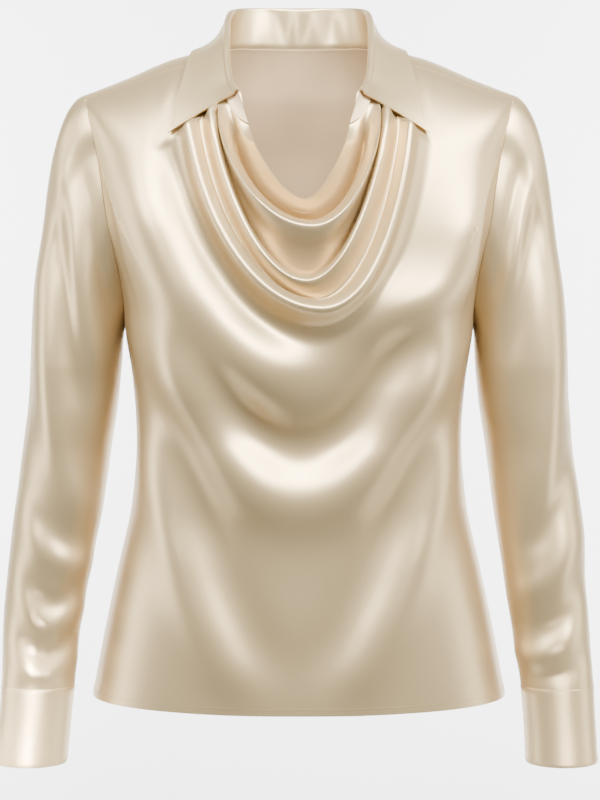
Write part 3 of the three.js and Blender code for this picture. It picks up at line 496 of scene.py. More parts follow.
# The broad soft folds below. line: the Bezier points that each follows, seen from the front. start, middle
# and end: how far its crest stands out there, or its trough in. grow and die: where it rises and fades.
BROAD_FOLDS = listed(
    "line width start middle end grow die",
    (((-111, -55), (-130, -122), (-31, -296), (48, -247)), 20, -10, -14, -8, 0.2, 0.3),
    (((-166, -72), (-130, -135), (-104, -326), (24, -287)), 34, 14, 18, 15, 0.3, 0.15),
    (((50, -243), (191, -208), (119, -203), (192, -83)), 28, 13, 15, 12, 0.05, 0.35),
    (((-108, -230), (-20, -414), (22, -399), (115, -237)), 24, -20, -6, -20, 0.06, 0.06),
    (((-114, -237), (-66, -477), (69, -462), (127, -241)), 30, 24, 9, 24, 0.06, 0.06),
    (((-146, -309), (-122, -403), (-111, -513), (-44, -589)), 22, 8, 9, 6, 0.25, 0.1),
    (((-114, -285), (-95, -390), (-73, -496), (-8, -579)), 24, -7, -9, -5, 0.2, 0.15),
    (((39, -589), (98, -509), (128, -407), (142, -309)), 22, 6, 9, 8, 0.1, 0.25),
    (((8, -579), (58, -492), (108, -394), (112, -285)), 24, -5, -9, -7, 0.15, 0.2),
)
# The corners of a collar leaf as it lies over the front, where the folds are pressed nearly flat.
LEAF_START, LEAF_POINT, LEAF_SHOULDER = (54, -24), (120, -70), (103, -2)
# Folds are pressed within so many millimetres in front of the leaf, and freed so far beyond its outer edge.
LEAF_PRESS, PRESS_BEFORE, PRESS_BEYOND = 0.95, 11, (4, 18)
# How many points a fold's line, or a row's chain, is worked out at.
LINE_POINTS = 160


def soft_folds(x, z, folds):
    """The height of some soft folds, at places seen from the front.

    Each is a row of small bells along its Bezier line: height * exp(-(distance / width)**2), summed over
    the line's length and divided by width * sqrt(pi), so that a straight fold is as high as stated.
    """
    t = np.linspace(0, 1, LINE_POINTS)
    total = np.zeros(np.shape(x))
    for fold in folds:
        last = len(fold.line) - 1
        weights = np.array([math.comb(last, k) * (1 - t) ** (last - k) * t**k for k in range(last + 1)])
        line = np.array(fold.line).T @ weights
        share = ramp(t, -0.001, fold.grow) * (1 - ramp(t, 1 - fold.die, 1.001))
        share = share * np.hypot(*np.gradient(line, axis=1)) / (fold.width * math.sqrt(math.pi))
        away = (x[..., None] - line[0]) ** 2 + (z[..., None] - line[1]) ** 2
        height = np.interp(t, (0, 0.5, 1), (fold.start, fold.middle, fold.end))
        total = total + np.exp(-away / fold.width**2) @ (height * share)
    return total


def pressed(x, z):
    """1 in the open, and near 0 under a collar leaf: behind its front edge and inside its outer edge."""
    slope = (LEAF_POINT[1] - LEAF_START[1]) / (LEAF_POINT[0] - LEAF_START[0])
    above = z - LEAF_START[1] - slope * (np.abs(x) - LEAF_START[0])
    slope = (LEAF_POINT[0] - LEAF_SHOULDER[0]) / (LEAF_POINT[1] - LEAF_SHOULDER[1])
    beyond = np.abs(x) - LEAF_SHOULDER[0] - slope * (z - LEAF_SHOULDER[1])
    return 1 - LEAF_PRESS * ramp(above, -PRESS_BEFORE, 0) * (1 - ramp(beyond, *PRESS_BEYOND))


def front_edge(side):
    """Half of the front's edge, from the collar's end round to the hem."""
    return joined(
        cut_edge(neck_line(10, 5, 60), side, NECK_CENTRE, FRONT_MIDDLE),
        cut_edge(shoulder_line(60), side, SHOULDER_CENTRE, FRONT_MIDDLE),
        cut_edge(armhole_line(-1, 240), side, ARMHOLE_CENTRE, FRONT_MIDDLE),
        cut_edge(side_line(-1, 120), side, None, FRONT_MIDDLE),
    )


def hanging(swag, end, fractions):
    """Half of each row: a chain from its lowest point to its end, at the given fractions of its length.

    The chain is a Bezier curve seen from the front, level at the bottom, laid on the body's depth.
    """
    t = np.sin(np.linspace(0, math.pi / 2, LINE_POINTS))
    wide, deep = end[:, 0] - swag.x, end[:, 2] - swag.z
    weights = [(1 - t) ** 3, 3 * (1 - t) ** 2 * t, 3 * (1 - t) * t**2, t**3]
    across = [swag.x, swag.x + swag.flat * wide, end[:, 0] - swag.lean * wide, end[:, 0]]
    height = [swag.z, swag.z, end[:, 2] - swag.fall * deep, end[:, 2]]
    x = sum(a[:, None] * w for a, w in zip(across, weights))
    z = sum(a[:, None] * w for a, w in zip(height, weights))
    x = np.sign(x) * np.minimum(np.abs(x), edge_x(z))
    line = points(x, depth(-1, x, z), z)
    line[:, -1] = end
    along = np.linalg.norm(np.diff(line, axis=1), axis=2).cumsum(axis=1)
    along = np.concatenate([np.zeros((len(along), 1)), along], axis=1)
    rows = [
        np.stack([np.interp(fractions * a[-1], a, p[:, k]) for k in range(3)], axis=-1)
        for a, p in zip(along, line)
    ]
    return np.array(rows), along[:, -1:]


def front_grid():
    """The front as a grid, with the ways out of the cloth along its two side edges."""
    places = [1 + k + np.arange(n) / n for k, n in enumerate(SWAG_STEPS)]
    swag = SWAGS(np.concatenate([*places, [1 + len(SWAG_STEPS)]]))
    u = np.linspace(0, 1, FRONT_HALF - 2)[:-1]
    fractions = np.concatenate([u**FRONT_BUNCHING * FRONT_LAST[0], FRONT_LAST[1:]])
    halves, from_ends, ends = [], [], []
    for side, distance in ((-1, swag.left), (1, swag.right)):
        edge = front_edge(side)
        distance = distance * (1 + (edge.length / FRONT_EDGE - 1) * ramp(distance, FRONT_STRETCH, FRONT_EDGE))
        end = edge.at(snapped(distance, edge.corners + [edge.length]))
        half, length = hanging(swag, end.p, fractions)
        halves.append(half)
        from_ends.append(length * (1 - fractions))
        ends.append(end)
    flat, from_edge = (
        np.concatenate([left[:, ::-1], right[:, 1:]], axis=1) for left, right in (halves, from_ends)
    )
    out, down = grid_directions(flat)
    x, z = flat[..., 0], flat[..., 2]
    fade = ramp(from_edge, 0, swag.fade[:, None]) * pressed(x, z)
    lift = (swag.out[:, None] + soft_folds(x, z, BROAD_FOLDS)) * fade - rolled_in(from_edge)
    folded = flat + out * lift[..., None] + down * (swag.tuck[:, None] * fade**2)[..., None]
    folded[:, 0] += ends[0].inside
    folded[:, -1] += ends[1].inside
    turn = TURNED_EDGE(np.linspace(0, 5, TURNED_ROWS + 1)[:-1])
    share = (0.5 + 0.5 * fade[0])[None, :, None]
    turned = folded[0] + share * (turn.out[:, None, None] * out[0] + turn.tuck[:, None, None] * down[0])
    rows = slice(len(turned), None)
    return np.concatenate([turned, folded]), [(ends[0].out, rows, 0), (ends[1].out, rows, -1)]


# How far apart stitches are, how long each shows and how thick its thread is.
HEM_STITCH, COLLAR_STITCH = (2.6, 1.9, 0.42), (2.3, 1.7, 0.4)
STITCH_RINGS, STITCH_SIDES = 7, 6


def stitches(name, path, way, size):
    """A row of small stitches along a path of points on the cloth, as one mesh.

    Each is a thread, long from end to end and thick across, that rises out of the cloth and dives back: at
    the share s of its length its middle stands thick * (1.5 * sin(pi * s) - 0.6) out of the cloth.
    """
    pitch, long, thick = size
    along = path_length(path)
    count = int(along[-1] / pitch)
    middle = (np.arange(count) + 0.5) / count * along[-1]
    share = np.linspace(0, 1, STITCH_RINGS)
    centre = at_distance(middle[:, None] + (share - 0.5) * long, along, path)
    out = unit(at_distance(middle, along, way))[:, None]
    run = unit(centre[:, -1:] - centre[:, :1])
    side = unit(np.cross(run, out))
    centre = centre + out * (thick * (1.5 * np.sin(math.pi * share) - 0.6))[None, :, None]
    angle = np.linspace(0, 2 * math.pi, STITCH_SIDES + 1)[:-1]
    radius = 0.5 * thick * np.sqrt(np.maximum(0.02, np.sin(math.pi * share)))[None, :, None, None]
    ring = side[:, :, None] * np.cos(angle)[:, None] + out[:, :, None] * np.sin(angle)[:, None]
    vertices = (centre[:, :, None] + radius * ring).reshape(-1, 3) / 1000
    a = np.arange(STITCH_RINGS * STITCH_SIDES).reshape(STITCH_RINGS, STITCH_SIDES)
    b = np.roll(a, -1, axis=1)
    sides = np.stack([a[:-1], b[:-1], b[1:], a[1:]], axis=-1).reshape(-1, 4)
    ends = np.stack([a[0, ::-1], a[-1]])
    first = a.size * np.arange(count)[:, None, None]
    faces = (sides + first).reshape(-1, 4).tolist() + (ends + first).reshape(-1, STITCH_SIDES).tolist()
    piece = placed(name, smooth_mesh(name, vertices, faces, THREAD))
    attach(piece, "root")


def across_cloth(grid, way, rows, columns):
    """A path that follows the cloth at fractional rows and columns of its grid, and the way out along it."""
    rows = np.broadcast_to(rows, np.broadcast_shapes(np.shape(rows), np.shape(columns))).astype(float)
    columns = np.broadcast_to(columns, rows.shape).astype(float)
    i = np.clip(rows.astype(int), 0, grid.shape[0] - 2)
    j = np.clip(columns.astype(int), 0, grid.shape[1] - 2)
    r, c = (rows - i)[:, None], (columns - j)[:, None]

    def mixed(values):
        top = values[i, j] * (1 - c) + values[i, j + 1] * c
        low = values[i + 1, j] * (1 - c) + values[i + 1, j + 1] * c
        return top * (1 - r) + low * r

    return mixed(grid), unit(mixed(way))


# The hem is turned up and stitched all round, so far above its edge.
HEM_BAND = 6.5


def hem_stitches(name, grid):
    """The stitches of a panel's hem, at the fractional row of each column that lies on the band's top."""
    above = [path_length(grid[::-1, column]) for column in range(grid.shape[1])]
    rows = [len(grid) - 1 - np.interp(HEM_BAND, each, np.arange(len(grid))) for each in above]
    path, way = across_cloth(grid, grid_directions(grid)[0], rows, np.arange(grid.shape[1]))
    stitches(name, path, way, HEM_STITCH)


front_points, front_ways = front_grid()
front = cloth("front_panel", front_points, FRONT_CLOTH, edge_out=front_ways)
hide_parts("front")
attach(front, "root")
hem_stitches("front_hem_stitches", front_points)

# The back: one plain satin panel, taken over the shoulders and sewn to the front a little before their top.
# It is cut with a little ease, which falls in a few shallow folds.
BACK_CLOTH = 0.7
BACK_SHOULDER_COLUMNS, BACK_NECK_COLUMNS = 46, 40
BACK_NECK_SHARE = 0.62
BACK_ARMHOLE_ROWS, BACK_SIDE_ROWS, BACK_BUNCHING = 76, 90, 1.35
# The shares of the height over which the columns leave the top edge's spacing.
BACK_START, BACK_SPREAD = (0, 0.06), (-0.25, 0.5)
# A column's breadth, and how far in from the side and the top edge the folds are at their full height.
BACK_COLUMN, BACK_SIDE_FADE, BACK_TOP_FADE = 2.8, 34, 50
# Soft folds that fall from the upper back, two across its hollow, and one above them.
BACK_FOLDS = listed(
    "line width start middle end grow die",
    (((-150, -95), (-118, -190), (-96, -300), (-104, -420)), 24, 4, 6, 3, 0.3, 0.3),
    (((156, -110), (120, -215), (88, -300), (92, -445)), 22, 3, 5, 4, 0.3, 0.3),
    (((-58, -120), (-50, -240), (-66, -380), (-88, -590)), 22, 2, 4, 6, 0.4, 0.05),
    (((40, -150), (52, -270), (46, -420), (70, -590)), 26, 2, 5, 7, 0.3, 0.05),
    (((-8, -300), (-14, -400), (6, -500), (-4, -590)), 24, -2, -4, -3, 0.3, 0.05),
    (((112, -420), (118, -480), (126, -540), (134, -590)), 20, 3, 5, 5, 0.3, 0.05),
    (((-120, -330), (-60, -372), (50, -376), (128, -322)), 16, 2.5, 4, 2.5, 0.25, 0.25),
    (((-110, -370), (-40, -412), (44, -404), (98, -376)), 14, -2, -3.5, -2, 0.25, 0.3),
    (((-104, -120), (-40, -168), (30, -176), (112, -130)), 20, 1.5, 2.5, 1.5, 0.3, 0.3),
)


def back_grid():
    """The back as a grid from side to side, with the ways out of the cloth along its seams."""
    edges = {
        side: joined(
            cut_edge(armhole_line(1, 320), side, ARMHOLE_CENTRE, BACK_MIDDLE),
            cut_edge(side_line(1, 120), side, None, BACK_MIDDLE),
        )
        for side in (1, -1)
    }
    underarm, length = edges[1].corners[0], edges[1].length
    distance = np.concatenate([
        underarm * np.linspace(0, 1, BACK_ARMHOLE_ROWS) ** BACK_BUNCHING,
        np.linspace(underarm, length, BACK_SIDE_ROWS)[1:],
    ])
    ends = {side: edges[side].at(distance) for side in (1, -1)}
    x_side = ends[1].p[:, 0]
    drop = np.maximum(0, SHOULDER_TOP(x_side).z - ends[1].p[:, 2])
    root_side = np.where(ends[1].p[:, 1] < 0, -1, 1) * np.sqrt(drop)
    shoulder = shoulder_line(BACK_SHOULDER_COLUMNS)
    neck = neck_line(5, 0, BACK_NECK_COLUMNS)
    x_top = np.concatenate([shoulder[0][::-1], neck[0][1:]])
    root_top = np.concatenate([shoulder[1][::-1], neck[1][1:]])
    below = np.concatenate([
        np.linspace(1, BACK_NECK_SHARE, BACK_SHOULDER_COLUMNS),
        np.linspace(BACK_NECK_SHARE, 0, BACK_NECK_COLUMNS)[1:],
    ])
    share = ((root_side - root_side[0]) / (root_side[-1] - root_side[0]))[:, None]
    rows = np.linspace(0, 1, len(distance))
    spread = (ramp(rows, *BACK_START) * ramp(rows, *BACK_SPREAD))[:, None]
    x = x_side[:, None] * (x_top / SHOULDER_TIP * (1 - spread) + below * spread)
    hem_x = x_side[-1] * below
    root = root_top + share * (np.sqrt(SHOULDER_TOP(hem_x).z - HEM) - root_top)
    x[0], root[0] = x_top, root_top
    right = body_point(x, root)
    flat = mirrored(right)
    out, _ = grid_directions(flat)
    shoulder_cut = cut_edge(shoulder, 1, SHOULDER_CENTRE, BACK_MIDDLE)
    neck_cut = cut_edge(neck, 1, NECK_CENTRE, BACK_MIDDLE)
    top_out = mirrored(np.vstack([shoulder_cut.out[:0:-1], neck_cut.out]))
    top_in = mirrored(np.vstack([shoulder_cut.inside[:0:-1], neck_cut.inside]))
    column = np.arange(flat.shape[1])
    from_side = np.minimum(column, column[::-1]) * BACK_COLUMN
    from_top = np.linalg.norm(flat - flat[0], axis=2)
    fade = ramp(from_side, 0, BACK_SIDE_FADE) * ramp(from_top, 0, BACK_TOP_FADE)
    lift = soft_folds(flat[..., 0], flat[..., 2], BACK_FOLDS) * fade
    lift = lift - rolled_in(np.minimum(from_top, from_side))
    grid = flat + out * lift[..., None]
    grid[0] = flat[0] + top_in
    grid[:, 0] = ends[1].p + ends[1].inside
    grid[:, -1] = ends[-1].p + ends[-1].inside
    seams = [(top_out, 0, slice(None)), (ends[1].out, slice(None), 0), (ends[-1].out, slice(None), -1)]
    return grid, seams


back_points, back_ways = back_grid()
back = cloth("back_panel", back_points, BACK_CLOTH, edge_out=back_ways)
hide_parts("back")
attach(back, "root")
hem_stitches("back_hem_stitches", back_points)

# The sleeves: long, of the same satin, set into the armholes. They are cut straight and a little full, so
# they break into soft creases at the elbow and just above the cuffs.
SLEEVE_CLOTH = 0.7
# left and right: how far out each arm's middle is. y: how far back. half and deep: half the oval's size.
SLEEVE = Table(
    "z left right y half deep",
    (-285, 210.5, 209.5, 2, 42.4, 56),
    (-320, 214, 213, 3, 42.4, 55),
    (-357, 219.5, 218.5, 3, 42.2, 53),
    (-415, 227.5, 225.5, -3, 41.8, 50),
    (-472, 236, 232, -10, 39.8, 46),
    (-530, 243.5, 238, -18, 37, 41),
    (-568, 246, 242.5, -23, 35.2, 37),
    (-586.5, 247, 244.5, -25, 34.6, 35),
)
BICEPS, WRIST = -285, -586.5
# How the cap leaves the armhole round the arm, in quarter turns from its top towards the front: how far it
# carries on, how many degrees it turns out of the seam, how much it drops, and its pull at the biceps.
CAP = Table(
    "turn reach rise drop arrive",
    (0, 118, 18, 0, 265), (1, 62, 25, 0.8, 150), (1.7, 30, 50, 0.6, 70), (2, 22, 78, 0.2, 40),
    (2.3, 30, 50, 0.6, 70), (3, 62, 25, 0.8, 150), (4, 118, 18, 0, 265),
)
CAP_ROWS, ARM_ROWS, AROUND = 46, 120, 150
# How far below the armhole and above the cuff the folds are at their full height.
CAP_FADE, CUFF_FADE = 30, 14
CAP_BUNCHING, BICEPS_SLANT = 0.9, 0.08
# Where the folds fade out round the arm, as the sine of the turn towards the front.
ROUND_FADE = (-0.35, 0.25)
# The folds on the front of each sleeve, seen from the front: long soft ones that fall from the cap, and
# slanting creases at the elbow and above the cuff.
LEFT_FRONT = listed(
    "line width start middle end grow die",
    (((-222, -75), (-212, -145), (-208, -222), (-182, -300)), 12, 3, 5, 4, 0.2, 0.15),
    (((-226, -120), (-218, -200), (-222, -270), (-196, -345)), 12, -4, -6, -4, 0.2, 0.25),
    (((-238, -150), (-236, -250), (-238, -349), (-200, -436)), 16, 5, 8, 6, 0.2, 0.1),
    (((-199, -92), (-188, -141), (-182, -192), (-172, -242)), 10, -3, -4, -3, 0.2, 0.2),
    (((-262, -380), (-244, -425), (-224, -452), (-196, -452)), 13, -2, -2.5, -2.5, 0.3, 0.2),
    (((-262, -420), (-240, -468), (-215, -478), (-196, -470)), 13, 2.5, 3.5, 3, 0.3, 0.2),
    (((-260, -462), (-240, -520), (-216, -516), (-203, -478)), 10, -2, -2.5, -2, 0.2, 0.2),
    (((-264, -489), (-244, -545), (-222, -540), (-203, -497)), 12, 2.5, 3.5, 2.5, 0.2, 0.2),
    (((-269, -513), (-248, -566), (-222, -564), (-207, -520)), 9, -2, -2.5, -2, 0.2, 0.2),
    (((-273, -539), (-250, -590), (-226, -588), (-209, -545)), 10, 2, 2.5, 2, 0.2, 0.2),
)
RIGHT_FRONT = listed(
    "line width start middle end grow die",
    (((212, -88), (196, -130), (192, -180), (176, -232)), 10, -3, -4, -3, 0.2, 0.2),
    (((216, -90), (212, -134), (200, -185), (188, -236)), 9, 3, 4, 3, 0.2, 0.3),
    (((222, -119), (214, -180), (206, -240), (190, -300)), 12, -4, -5, -4, 0.2, 0.3),
    (((240, -143), (244, -238), (240, -336), (214, -428)), 15, 4, 7, 5, 0.3, 0.2),
    (((262, -330), (258, -390), (236, -440), (206, -462)), 12, -3, -4, -4, 0.3, 0.2),
    (((268, -418), (254, -470), (228, -494), (200, -505)), 14, 3, 4.5, 4, 0.25, 0.25),
    (((272, -470), (256, -520), (232, -538), (200, -530)), 12, -2.5, -4, -2.5, 0.2, 0.3),
    (((200, -548), (216, -566), (236, -562), (270, -520)), 11, 2.5, 4, 2.5, 0.2, 0.25),
    (((214, -574), (236, -584), (256, -574), (274, -548)), 9, -2, -2.5, -2, 0.3, 0.2),
)


def arm_oval(side, turn, z):
    """A point on the arm's oval at a height."""
    oval = SLEEVE(z)
    angle = turn * math.pi / 2
    middle = oval.left if side < 0 else oval.right
    return points(side * (middle + oval.half * np.cos(angle)), oval.y - oval.deep * np.sin(angle), z)


def sleeve_grid(side):
    """A sleeve as rings from the armhole to the cuff, with the way out of the cloth round its armhole."""
    ring, turns = [], []
    for face, start in ((-1, 0), (1, 2)):
        x, root = armhole_line(face, 400)
        line = body_point(side * x, root)[::-face]
        along = path_length(line)
        wanted = np.linspace(0, along[-1], AROUND // 2 + 1)[:-1]
        ring.append(at_distance(wanted, along, line))
        turns.append(start + 2 * wanted / along[-1])
    ring, turn = np.vstack(ring), np.concatenate(turns)
    closed = np.vstack([ring[-1:], ring, ring[:1]])
    cut = cut_edge(closed, side, ARMHOLE_CENTRE, ARM_MIDDLE)
    out, inside = cut.out[1:-1], cut.inside[1:-1]
    cap = CAP(turn)
    rise = np.radians(cap.rise)[:, None]
    leave = unit(inside) * np.cos(rise) + out * np.sin(rise) - cap.drop[:, None] * [0, 0, 1]
    leave = leave * cap.reach[:, None]
    arrive = np.array([side * BICEPS_SLANT, 0, -1]) * cap.arrive[:, None]
    end = arm_oval(side, turn, np.full(len(turn), float(BICEPS)))
    s = (np.linspace(0, 1, CAP_ROWS) ** CAP_BUNCHING)[:, None, None]
    top = ring * (2 * s**3 - 3 * s**2 + 1) + leave * (s**3 - 2 * s**2 + s)
    top = top + end * (3 * s**2 - 2 * s**3) + arrive * (s**3 - s**2)
    top[0] = ring + inside
    z = np.linspace(BICEPS, WRIST, ARM_ROWS)[1:, None]
    flat = np.concatenate([top, arm_oval(side, turn[None, :], z)])
    way, _ = grid_directions(flat, around=True)
    way = way if side < 0 else -way
    from_top = np.linalg.norm(flat - flat[0], axis=2)
    folds = LEFT_FRONT if side < 0 else RIGHT_FRONT
    lift = soft_folds(flat[..., 0], flat[..., 2], folds) * ramp(np.sin(turn * math.pi / 2), *ROUND_FADE)
    lift = lift * ramp(from_top, 0, CAP_FADE) * ramp(flat[..., 2], WRIST, WRIST + CUFF_FADE)
    lift = lift - rolled_in(from_top)
    lift[0] = 0
    grid = flat + way * lift[..., None]
    if side > 0:
        grid, out = grid[:, ::-1], out[::-1]
    return grid, [(out, 0, slice(None))]


for side, name in ((-1, "sleeve_left"), (1, "sleeve_right")):
    sleeve_points, sleeve_ways = sleeve_grid(side)
    sleeve = cloth(name + "_cloth", sleeve_points, SLEEVE_CLOTH, around=True, edge_out=sleeve_ways)
    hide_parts(name)
    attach(sleeve, "root")

# The cuffs: straight bands of doubled satin over a firm interlining, closed all round, sewn to the sleeves
# and stitched along both edges.
CUFF_CLOTH = 1.8
CUFF_TOP, CUFF_END = WRIST - 0.3, -660
CUFF = Table(
    "z left right y half deep",
    (CUFF_TOP, 247, 244.5, -25, 34.8, 35.2),
    (-625, 250.5, 247, -27.5, 34.2, 35),
    (CUFF_END, 254, 249, -30, 34.4, 35.2),
)
# How far a cuff's two edges are rounded in, and over what height.
CUFF_ROUND, CUFF_ROUND_HEIGHT = 0.6, 0.9
CUFF_ROWS, CUFF_AROUND = 40, 140
# The rows of the grid that carry the stitching.
CUFF_SEAM_ROW, CUFF_EDGE_ROW = 1, 37


def cuff_grid(side):
    """A cuff as ovals from its seam to its lower edge."""
    z = np.linspace(CUFF_TOP, CUFF_END, CUFF_ROWS)[:, None]
    oval = CUFF(z)
    angle = -side * np.linspace(0, 2 * math.pi, CUFF_AROUND + 1)[:-1]
    middle = oval.left if side < 0 else oval.right
    edge = np.minimum(z - z[-1], z[0] - z)
    soft = -CUFF_ROUND * np.exp(-((edge / CUFF_ROUND_HEIGHT) ** 2))
    x = side * (middle + (oval.half + soft) * np.cos(angle))
    return points(x, oval.y - (oval.deep + soft) * np.sin(angle), z)


for side, name in ((-1, "cuff_left"), (1, "cuff_right")):
    cuff_points = cuff_grid(side)
    cuff = cloth(name + "_band", cuff_points, CUFF_CLOTH, around=True)
    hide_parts(name)
    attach(cuff, "root")
    cuff_way, _ = grid_directions(cuff_points, around=True)
    for place, row in (("top", CUFF_SEAM_ROW), ("edge", CUFF_EDGE_ROW)):
        ring = np.append(cuff_points[row], cuff_points[row, :1], axis=0)
        way = np.append(cuff_way[row], cuff_way[row, :1], axis=0)
        stitches(f"{name}_{place}_stitches", ring, way, HEM_STITCH)

# The collar: doubled satin over an interlining, sewn to the neck seam and folded once, so that it stands at
# the back of the neck and falls to two long points in front.
COLLAR_CLOTH = 1.5
# at: the place along the neck seam. x, y and z: the top of its fold. edge and foot: how far out and how
# high the outer edge lies on the body. lift: how clear of it. bulge: how far the leaf swells or hollows.
COLLAR = Table(
    "at x y z edge foot lift bulge",
    (0, 0, 67, 55, 0, 7, 4.5, 1),
    (1, 29, 64, 54.9, 36, 6.4, 4.5, 0.5),
    (2, 54, 50, 53.8, 67, 4.5, 4.5, -1.5),
    (2.8, 64.5, 31, 50.5, 84, 4, 4, -3),
    (4, 67.5, 5, 38.5, 98, 7.8, 3.5, -4),
    (5, 67.5, -20, 25, 102.5, -0.4, 3.5, -3),
    (7, 66, -50, -3, 108.5, -27.5, 4.5, -0.5),
    (8.5, 62, -68, -21, 114.5, -49, 5, 1),
    (10, 56.5, -80, -29, 119.5, -70, 5, 1.5),
)
COLLAR_FOLD = 3.2
# How far the stand's lower edge is drawn in at the back neck seam, and over how many rows.
SEAM_SINK, SEAM_SINK_ROWS = 0.9, 0.7
# Slight creases in the stand. x: where each is. slant: how far its top leans over. high: its rise. They
# fade in behind the shoulder's top.
CREASE_FADE = (0, 20)
STAND_CREASES = listed(
    "x slant width high",
    (-34, 5, 7, 0.9), (-15, -6, 5, -1.1), (-6, 4, 4, 1.2), (5, 8, 4, -0.9),
    (14, -5, 5, 1.0), (29, 6, 6, -1.0), (41, -4, 6, 0.8),
)
COLLAR_COLUMNS, STAND_ROWS, FOLD_ROWS, LEAF_ROWS = 110, 14, 9, 24


def collar_grid():
    """The collar as a grid: up its stand, over its fold and down its leaf, from end to end."""
    at = 10 * np.linspace(0, 1, COLLAR_COLUMNS)
    place = NECK(at)
    foot = body_point(place.x, place.root)
    cut = cut_edge(foot, 1, NECK_CENTRE, NECK_ABOVE)
    shape = COLLAR(at)
    fold = points(shape.x, shape.y, shape.z)
    root = np.where(at < 4, 1, -1) * np.sqrt(np.maximum(0, SHOULDER_TOP(shape.edge).z - shape.foot))
    edge = body_point(shape.edge, root) + body_out(shape.edge, root) * shape.lift[:, None]
    over = unit((edge - fold) * [1, 1, 0])
    angle = np.linspace(math.pi, 0, FOLD_ROWS)[:, None, None]
    turn = fold + COLLAR_FOLD * (over * np.cos(angle) + points(0, 0, np.sin(angle[..., 0]) - 1))
    inner, outer = turn[0], turn[-1]
    t = np.linspace(0, 1, STAND_ROWS)[:-1, None, None]
    stand = (foot + cut.inside) * (1 - t) + inner * t
    swell_way = unit(np.cross(np.gradient(foot, axis=0), edge - outer))
    t = np.linspace(0, 1, LEAF_ROWS)[1:, None, None]
    leaf = outer * (1 - t) + edge * t + swell_way * shape.bulge[:, None] * np.sin(math.pi * t)
    whole = mirrored(np.concatenate([stand, turn, leaf])[:, ::-1])
    t = np.linspace(0, 1, STAND_ROWS)[:, None]
    x, y, _ = np.moveaxis(whole[:STAND_ROWS], -1, 0)
    height = sum(c.high * np.exp(-(((x - c.x - c.slant * (t - 0.5)) / c.width) ** 2)) for c in STAND_CREASES)
    height = height * np.sin(math.pi * t) - SEAM_SINK * np.exp(-((t * STAND_ROWS / SEAM_SINK_ROWS) ** 2))
    height = height * ramp(y, *CREASE_FADE)
    whole[:STAND_ROWS] += grid_directions(whole)[0][:STAND_ROWS] * height[..., None]
    return whole, [(mirrored(-cut.out[::-1]), 0, slice(None))]


collar_points, collar_ways = collar_grid()
collar = cloth("collar_leaf", collar_points, COLLAR_CLOTH, edge_out=collar_ways)
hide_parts("collar")
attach(collar, "root")
# The leaf is stitched close to its edge: down one end, along the outer edge and up the other end. The path
# is so many grid rows and columns in from there.
EDGE_ROWS, END_COLUMNS = 1.35, 2.0
collar_way, _ = grid_directions(collar_points)
last_row, last_column = collar_points.shape[0] - 1, collar_points.shape[1] - 1
low_row, far_column = last_row - EDGE_ROWS, last_column - END_COLUMNS
leaf_rows = np.linspace(STAND_ROWS + 3, low_row, 40)
leaf_columns = np.linspace(END_COLUMNS, far_column, 400)
path_rows = np.concatenate([leaf_rows, np.full(400, low_row), leaf_rows[::-1]])
path_columns = np.concatenate([np.full(40, END_COLUMNS), leaf_columns, np.full(40, far_column)])
path, way = across_cloth(collar_points, collar_way, path_rows, path_columns)
stitches("collar_stitches", path, way, COLLAR_STITCH)
# Inside, a row of stitches holds the stand down along the back neck seam.
SEAM_ROW, SEAM_START, SEAM_END = 0.9, 0.3, 0.7
seam_columns = np.linspace(SEAM_START, SEAM_END, 200) * last_column
path, way = across_cloth(collar_points, collar_way, SEAM_ROW, seam_columns)
stitches("neck_seam_stitches", path, way, COLLAR_STITCH)

# The stage: a pale seamless sweep, a wide soft light above and in front, and soft fill.
# The camera stands a little above the waist and looks straight at the front.
CAMERA_AWAY, CAMERA_RISE = 2.6, math.radians(4)
AIM = np.array([0.00095, 0, -0.31913])
METRES_A_PIXEL, PICTURE_HEIGHT = 0.00095, 800
SENSOR_HEIGHT = 24

camera_data = bpy.data.cameras.new("camera")
camera_data.sensor_fit = "VERTICAL"
camera_data.sensor_height = SENSOR_HEIGHT
camera_data.lens = SENSOR_HEIGHT * CAMERA_AWAY / (PICTURE_HEIGHT * METRES_A_PIXEL)
camera = placed("camera", camera_data)
camera.location = AIM + CAMERA_AWAY * np.array([0, -math.cos(CAMERA_RISE), math.sin(CAMERA_RISE)])
camera.rotation_euler = (math.pi / 2 - CAMERA_RISE, 0, 0)
bpy.context.scene.camera = camera

# The sweep, in metres: its floor's height and front end, its wall, the round between them and its size.
SWEEP_FLOOR, SWEEP_NEAR, SWEEP_WALL, SWEEP_ROUND = -1.25, -0.4, 3.2, 1.2
SWEEP_TALL, SWEEP_HALF = 5, 6
SWEEP_COLOUR = (0.55, 0.55, 0.55, 1)
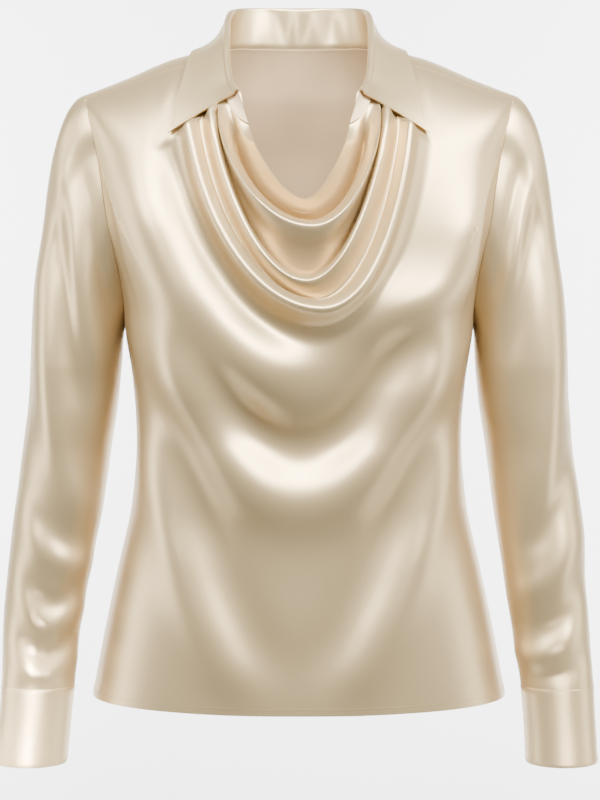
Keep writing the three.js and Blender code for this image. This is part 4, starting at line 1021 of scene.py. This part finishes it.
# Its floor curves up into the wall: a straight, a quarter round and a straight, carried sideways.
angle = np.linspace(0, math.pi / 2, 24)
y = np.concatenate([[SWEEP_NEAR], SWEEP_WALL - SWEEP_ROUND + SWEEP_ROUND * np.sin(angle), [SWEEP_WALL]])
z = np.concatenate([[0], SWEEP_ROUND * (1 - np.cos(angle)), [SWEEP_TALL]]) + SWEEP_FLOOR
sweep_points = points(np.linspace(-SWEEP_HALF, SWEEP_HALF, 3), y[:, None], z[:, None])
corner = np.arange(sweep_points[..., 0].size).reshape(sweep_points.shape[:2])
faces = np.stack([corner[:-1, :-1], corner[:-1, 1:], corner[1:, 1:], corner[1:, :-1]], axis=-1)
finish = Finish("sweep").set(Base_Color=SWEEP_COLOUR, Roughness=1.0, Specular_IOR_Level=0.0).data
placed("sweep", smooth_mesh("sweep", sweep_points.reshape(-1, 3), faces.reshape(-1, 4), finish))


def soft_light(name, place, size, power, aim=(0, 0, -0.3), spread=180):
    """A square area light that faces a point, and spreads over so many degrees."""
    data = bpy.data.lights.new(name, "AREA")
    data.shape = "RECTANGLE"
    data.size, data.size_y = size
    data.energy = power
    data.spread = math.radians(spread)
    lamp = placed(name, data)
    lamp.location = place
    back = unit(np.array(place, float) - np.array(aim, float))
    lamp.rotation_euler = (math.acos(back[2]), 0, math.atan2(back[1], back[0]) + math.pi / 2)


# The key lights stand left, right and above, and the last two light the wall.
soft_light("left", (-1.4, -1.5, 1.2), (1.0, 1.0), 75)
soft_light("right", (1.5, -1.4, 1.1), (1.0, 1.0), 140)
soft_light("top", (0, -1.5, 1.6), (1.6, 0.8), 190)
soft_light("side_left", (-2.2, -0.1, -0.2), (0.8, 1.8), 35)
soft_light("side_right", (2.2, -0.1, -0.2), (0.8, 1.8), 22)
soft_light("cuff_left", (-0.4, -1.0, -0.5), (0.08, 0.2), 0.75, aim=(-0.265, 0, -0.685), spread=12)
soft_light("cuff_right", (0.4, -1.0, -0.5), (0.08, 0.2), 0.18, aim=(0.265, 0, -0.685), spread=12)
soft_light("wall_left", (-1.7, 1.6, -0.35), (0.5, 2.6), 430, aim=(-0.85, 3.2, -0.35))
soft_light("wall_right", (1.7, 1.6, -0.35), (0.5, 2.6), 430, aim=(0.85, 3.2, -0.35))

WORLD_STRENGTH = 0.2
world = bpy.data.worlds.new("studio")
world.use_nodes = True
background = world.node_tree.nodes["Background"].inputs
background["Color"].default_value = (1, 1, 1, 1)
background["Strength"].default_value = WORLD_STRENGTH
bpy.context.scene.world = world
